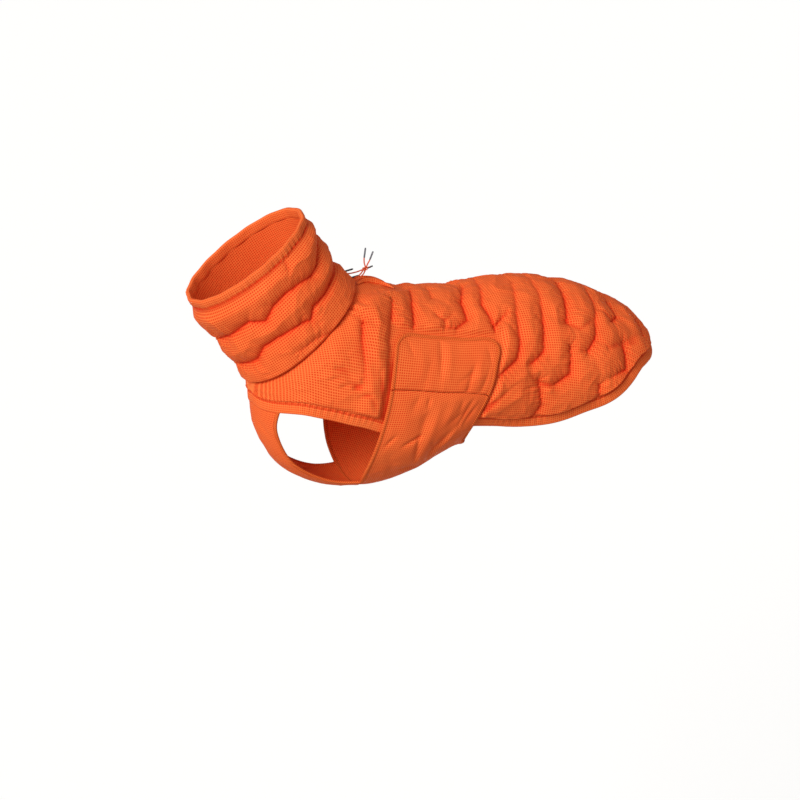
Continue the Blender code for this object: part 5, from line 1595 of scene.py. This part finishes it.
class CoatStage(bpy.types.PropertyGroup):
    """The floor, the light and the camera."""
    floor_height: length_size(
        "Floor height", "Well below the coat, so that its shadow falls wide of it", -1.60, -3.0, 0.0)
    sun: bpy.props.FloatProperty(
        name="Sun", description="Strength of the large soft light", default=2.92, min=0.0)
    sky: bpy.props.FloatProperty(
        name="Sky", description="Strength of the even light all round", default=0.43, min=0.0)
    lens: bpy.props.FloatProperty(
        name="Lens", description="Focal length in millimetres on a 36 mm sensor",
        default=123.4, min=10.0, subtype="DISTANCE_CAMERA")


# ---------------------------------------------------------------- operators

class COAT_OT_materials(bpy.types.Operator):
    """Make the cloth, thread, cord and plastic materials"""
    bl_idname = "coat.materials"
    bl_label = "Materials"

    def execute(self, context):
        colours = context.scene.coat_colours
        # the real grid is 1.6 to 2 mm; it is drawn at 3 mm so that it shows
        weave = 0.0030
        ripstop_nylon("ripstop_nylon_shell", colours.cloth_cell, colours.cloth_thread_with_sheen,
                      colours.cloth_shade_and_mottle, weave, 1.0)
        ripstop_nylon("ripstop_nylon_trim", colours.trim_cell, colours.trim_thread_with_sheen,
                      colours.cloth_shade_and_mottle, weave, 0.9)
        # a real overlocked edge has a stitch each 1.5 mm; it is drawn at 3 mm so that it shows
        twisted_polyester("overlocked_polyester_edge", colours.edge_groove_shade, colours.edge_light, 0.0030)
        twisted_polyester("polyester_thread", colours.thread, colours.thread, 0.0008)
        # the braid of a 1.8 mm elastic repeats about each 1.1 mm
        braided_elastic("braided_elastic", colours.cord_groove_shade, colours.cord_light, 0.0011)
        moulded_plastic("heat_shrunk_sleeve", colours.sleeve, hex_colour("#80858B"), 0.42, 900.0)
        moulded_plastic("moulded_nylon_barb", colours.barb, hex_colour("#45454A"), 0.36, 900.0)
        return {"FINISHED"}


class COAT_OT_back_panel(bpy.types.Operator):
    """Build the quilted back"""
    bl_idname = "coat.back_panel"
    bl_label = "Quilted back"

    def execute(self, context):
        build_back_panel(context.scene.coat_quilting)
        return {"FINISHED"}


class COAT_OT_collar(bpy.types.Operator):
    """Build the quilted roll collar"""
    bl_idname = "coat.collar"
    bl_label = "Quilted collar"

    def execute(self, context):
        build_collar(context.scene.coat_quilting)
        return {"FINISHED"}


class COAT_OT_casings(bpy.types.Operator):
    """Build the gathered hem and the collar's rim, with their stitches"""
    bl_idname = "coat.casings"
    bl_label = "Casings"

    def execute(self, context):
        build_hem_casing(context.scene.coat_trims)
        build_rim_casing(context.scene.coat_trims)
        return {"FINISHED"}


class COAT_OT_bib(bpy.types.Operator):
    """Build the chest bib with its corded edges"""
    bl_idname = "coat.bib"
    bl_label = "Chest bib"

    def execute(self, context):
        trims = context.scene.coat_trims
        piece, width, length = build_chest_bib()
        edges = [build_bib_binding("left", 1, trims), build_bib_binding("right", -1, trims)]
        return {"FINISHED"}


class COAT_OT_belly_band(bpy.types.Operator):
    """Build the belly band with its corded edges"""
    bl_idname = "coat.belly_band"
    bl_label = "Belly band"

    def execute(self, context):
        trims = context.scene.coat_trims
        piece, width, length = build_belly_band()
        edges = [build_belly_binding("front", 0.0, trims), build_belly_binding("rear", 1.0, trims)]
        return {"FINISHED"}


class COAT_OT_tabs(bpy.types.Operator):
    """Build the two closure tabs with their corded edges"""
    bl_idname = "coat.tabs"
    bl_label = "Closure tabs"

    def execute(self, context):
        trims = context.scene.coat_trims
        for side_name, side in (("left", 1), ("right", -1)):
            piece = build_tab(side_name, side)
            edge = build_tab_binding(side_name, side, trims)
        return {"FINISHED"}


class COAT_OT_slit_lips(bpy.types.Operator):
    """Build the two lips of the leash slit"""
    bl_idname = "coat.slit_lips"
    bl_label = "Leash slit"

    def execute(self, context):
        build_lip("left", 1)
        build_lip("right", -1)
        return {"FINISHED"}


class COAT_OT_drawcords(bpy.types.Operator):
    """Build the drawcords, their knot, sleeves and barbs"""
    bl_idname = "coat.drawcords"
    bl_label = "Drawcords"

    def execute(self, context):
        knot = build_knot()
        tall, leaning, short, near_barb, far_barb = [build_sleeve(*sleeve) for sleeve in SLEEVES]
        near = (*NEAR_BARB, *NEAR_CORD[1:], KNOT, *LEANING_END[1:], inside_end(LEANING_TIP))
        far = (*FAR_CORD, KNOT, *TALL_END[1:], inside_end(TALL_TIP))
        shade = (*SHADE_CORD, KNOT, inside_end(SHORT_TIP))
        build_cord("near_drawcord", ("drawcord_near", "drawcord_leaning_end"), near)
        build_cord("far_drawcord", ("drawcord_far", "drawcord_tall_end"), far)
        build_cord("shade_drawcord", ("drawcord_shade",), shade)
        return {"FINISHED"}


class COAT_OT_stage(bpy.types.Operator):
    """Set up the pale floor, the soft light and the camera"""
    bl_idname = "coat.stage"
    bl_label = "Stage"

    def execute(self, context):
        setting = context.scene.coat_stage
        mesh = bpy.data.meshes.new("studio_floor")
        signs = ((-1, -1), (1, -1), (1, 1), (-1, 1))
        corners = [(FLOOR_HALF * x, FLOOR_HALF * y, setting.floor_height) for x, y in signs]
        mesh.from_pydata(corners, [], [(0, 1, 2, 3)])
        material, _, shader = new_material("pale_studio_floor", roughness=0.9, specular=0.1)
        shader.inputs["Base Color"].default_value = (*hex_colour("#F7F6F4"), 1.0)
        shader.inputs["Emission Color"].default_value = (1.0, 1.0, 1.0, 1.0)
        shader.inputs["Emission Strength"].default_value = 0.25
        mesh.materials.append(material)
        floor = bpy.data.objects.new("studio_floor", mesh)
        context.scene.collection.objects.link(floor)
        # the floor shows white, and throws no light up into the coat's shaded sides
        floor.visible_diffuse = False
        world = bpy.data.worlds.new("even_sky")
        world.use_nodes = True
        world.node_tree.nodes["Background"].inputs["Color"].default_value = (1.0, 1.0, 1.0, 1.0)
        world.node_tree.nodes["Background"].inputs["Strength"].default_value = setting.sky
        context.scene.world = world
        light = bpy.data.lights.new("soft_sun", "SUN")
        light.energy = setting.sun
        light.angle = math.radians(SUN_SPREAD)
        sun = bpy.data.objects.new("soft_sun", light)
        sun.rotation_euler = (math.radians(SUN_TILT), 0.0, math.radians(SUN_TURN))
        context.scene.collection.objects.link(sun)
        azimuth = math.radians(CAMERA_AZIMUTH)
        elevation = math.radians(CAMERA_ELEVATION)
        level = math.cos(elevation)
        back = np.array((math.sin(azimuth) * level, -math.cos(azimuth) * level, math.sin(elevation)))
        lens = bpy.data.cameras.new("view")
        lens.lens = setting.lens
        lens.sensor_width = 36.0
        camera = bpy.data.objects.new("view", lens)
        camera.location = np.array(CAMERA_AIM) + CAMERA_DISTANCE * back
        camera.rotation_euler = (math.pi / 2 - elevation, 0.0, azimuth)
        context.scene.collection.objects.link(camera)
        context.scene.camera = camera
        context.scene.view_settings.view_transform = "Standard"
        return {"FINISHED"}


class COAT_PT_panel(bpy.types.Panel):
    """Lists the coat's sizes, colours and building steps"""
    bl_idname = "COAT_PT_panel"
    bl_label = "Dog winter coat"
    bl_space_type = "VIEW_3D"
    bl_region_type = "UI"
    bl_category = "Coat"

    def draw(self, context):
        for title, group in SETTINGS:
            box = self.layout.box()
            box.label(text=title)
            values = getattr(context.scene, group)
            for name in values.__annotations__:
                box.prop(values, name)
        for operator in STEPS:
            self.layout.operator(operator.bl_idname)


SETTINGS = (("Quilting", "coat_quilting"), ("Trims", "coat_trims"), ("Colours", "coat_colours"),
            ("Stage", "coat_stage"))
GROUPS = (CoatQuilting, CoatTrims, CoatColours, CoatStage)
STEPS = (COAT_OT_materials, COAT_OT_stage, COAT_OT_drawcords, COAT_OT_back_panel, COAT_OT_collar,
         COAT_OT_casings, COAT_OT_bib, COAT_OT_belly_band, COAT_OT_tabs, COAT_OT_slit_lips)


def register():
    """Register the settings, the operators and the panel."""
    for group in GROUPS:
        bpy.utils.register_class(group)
    for (_, name), group in zip(SETTINGS, GROUPS):
        setattr(bpy.types.Scene, name, bpy.props.PointerProperty(type=group))
    for operator in STEPS:
        bpy.utils.register_class(operator)
    bpy.utils.register_class(COAT_PT_panel)


def unregister():
    """Take them away again, in the opposite order."""
    bpy.utils.unregister_class(COAT_PT_panel)
    for operator in reversed(STEPS):
        bpy.utils.unregister_class(operator)
    for _, name in SETTINGS:
        delattr(bpy.types.Scene, name)
    for group in reversed(GROUPS):
        bpy.utils.unregister_class(group)


def main():
    """Register the add-on and run its steps in order."""
    register()
    bpy.ops.coat.materials()
    bpy.ops.coat.stage()
    bpy.ops.coat.drawcords()
    bpy.ops.coat.back_panel()
    bpy.ops.coat.collar()
    bpy.ops.coat.casings()
    bpy.ops.coat.bib()
    bpy.ops.coat.belly_band()
    bpy.ops.coat.tabs()
    bpy.ops.coat.slit_lips()


if __name__ == "__main__":
    main()
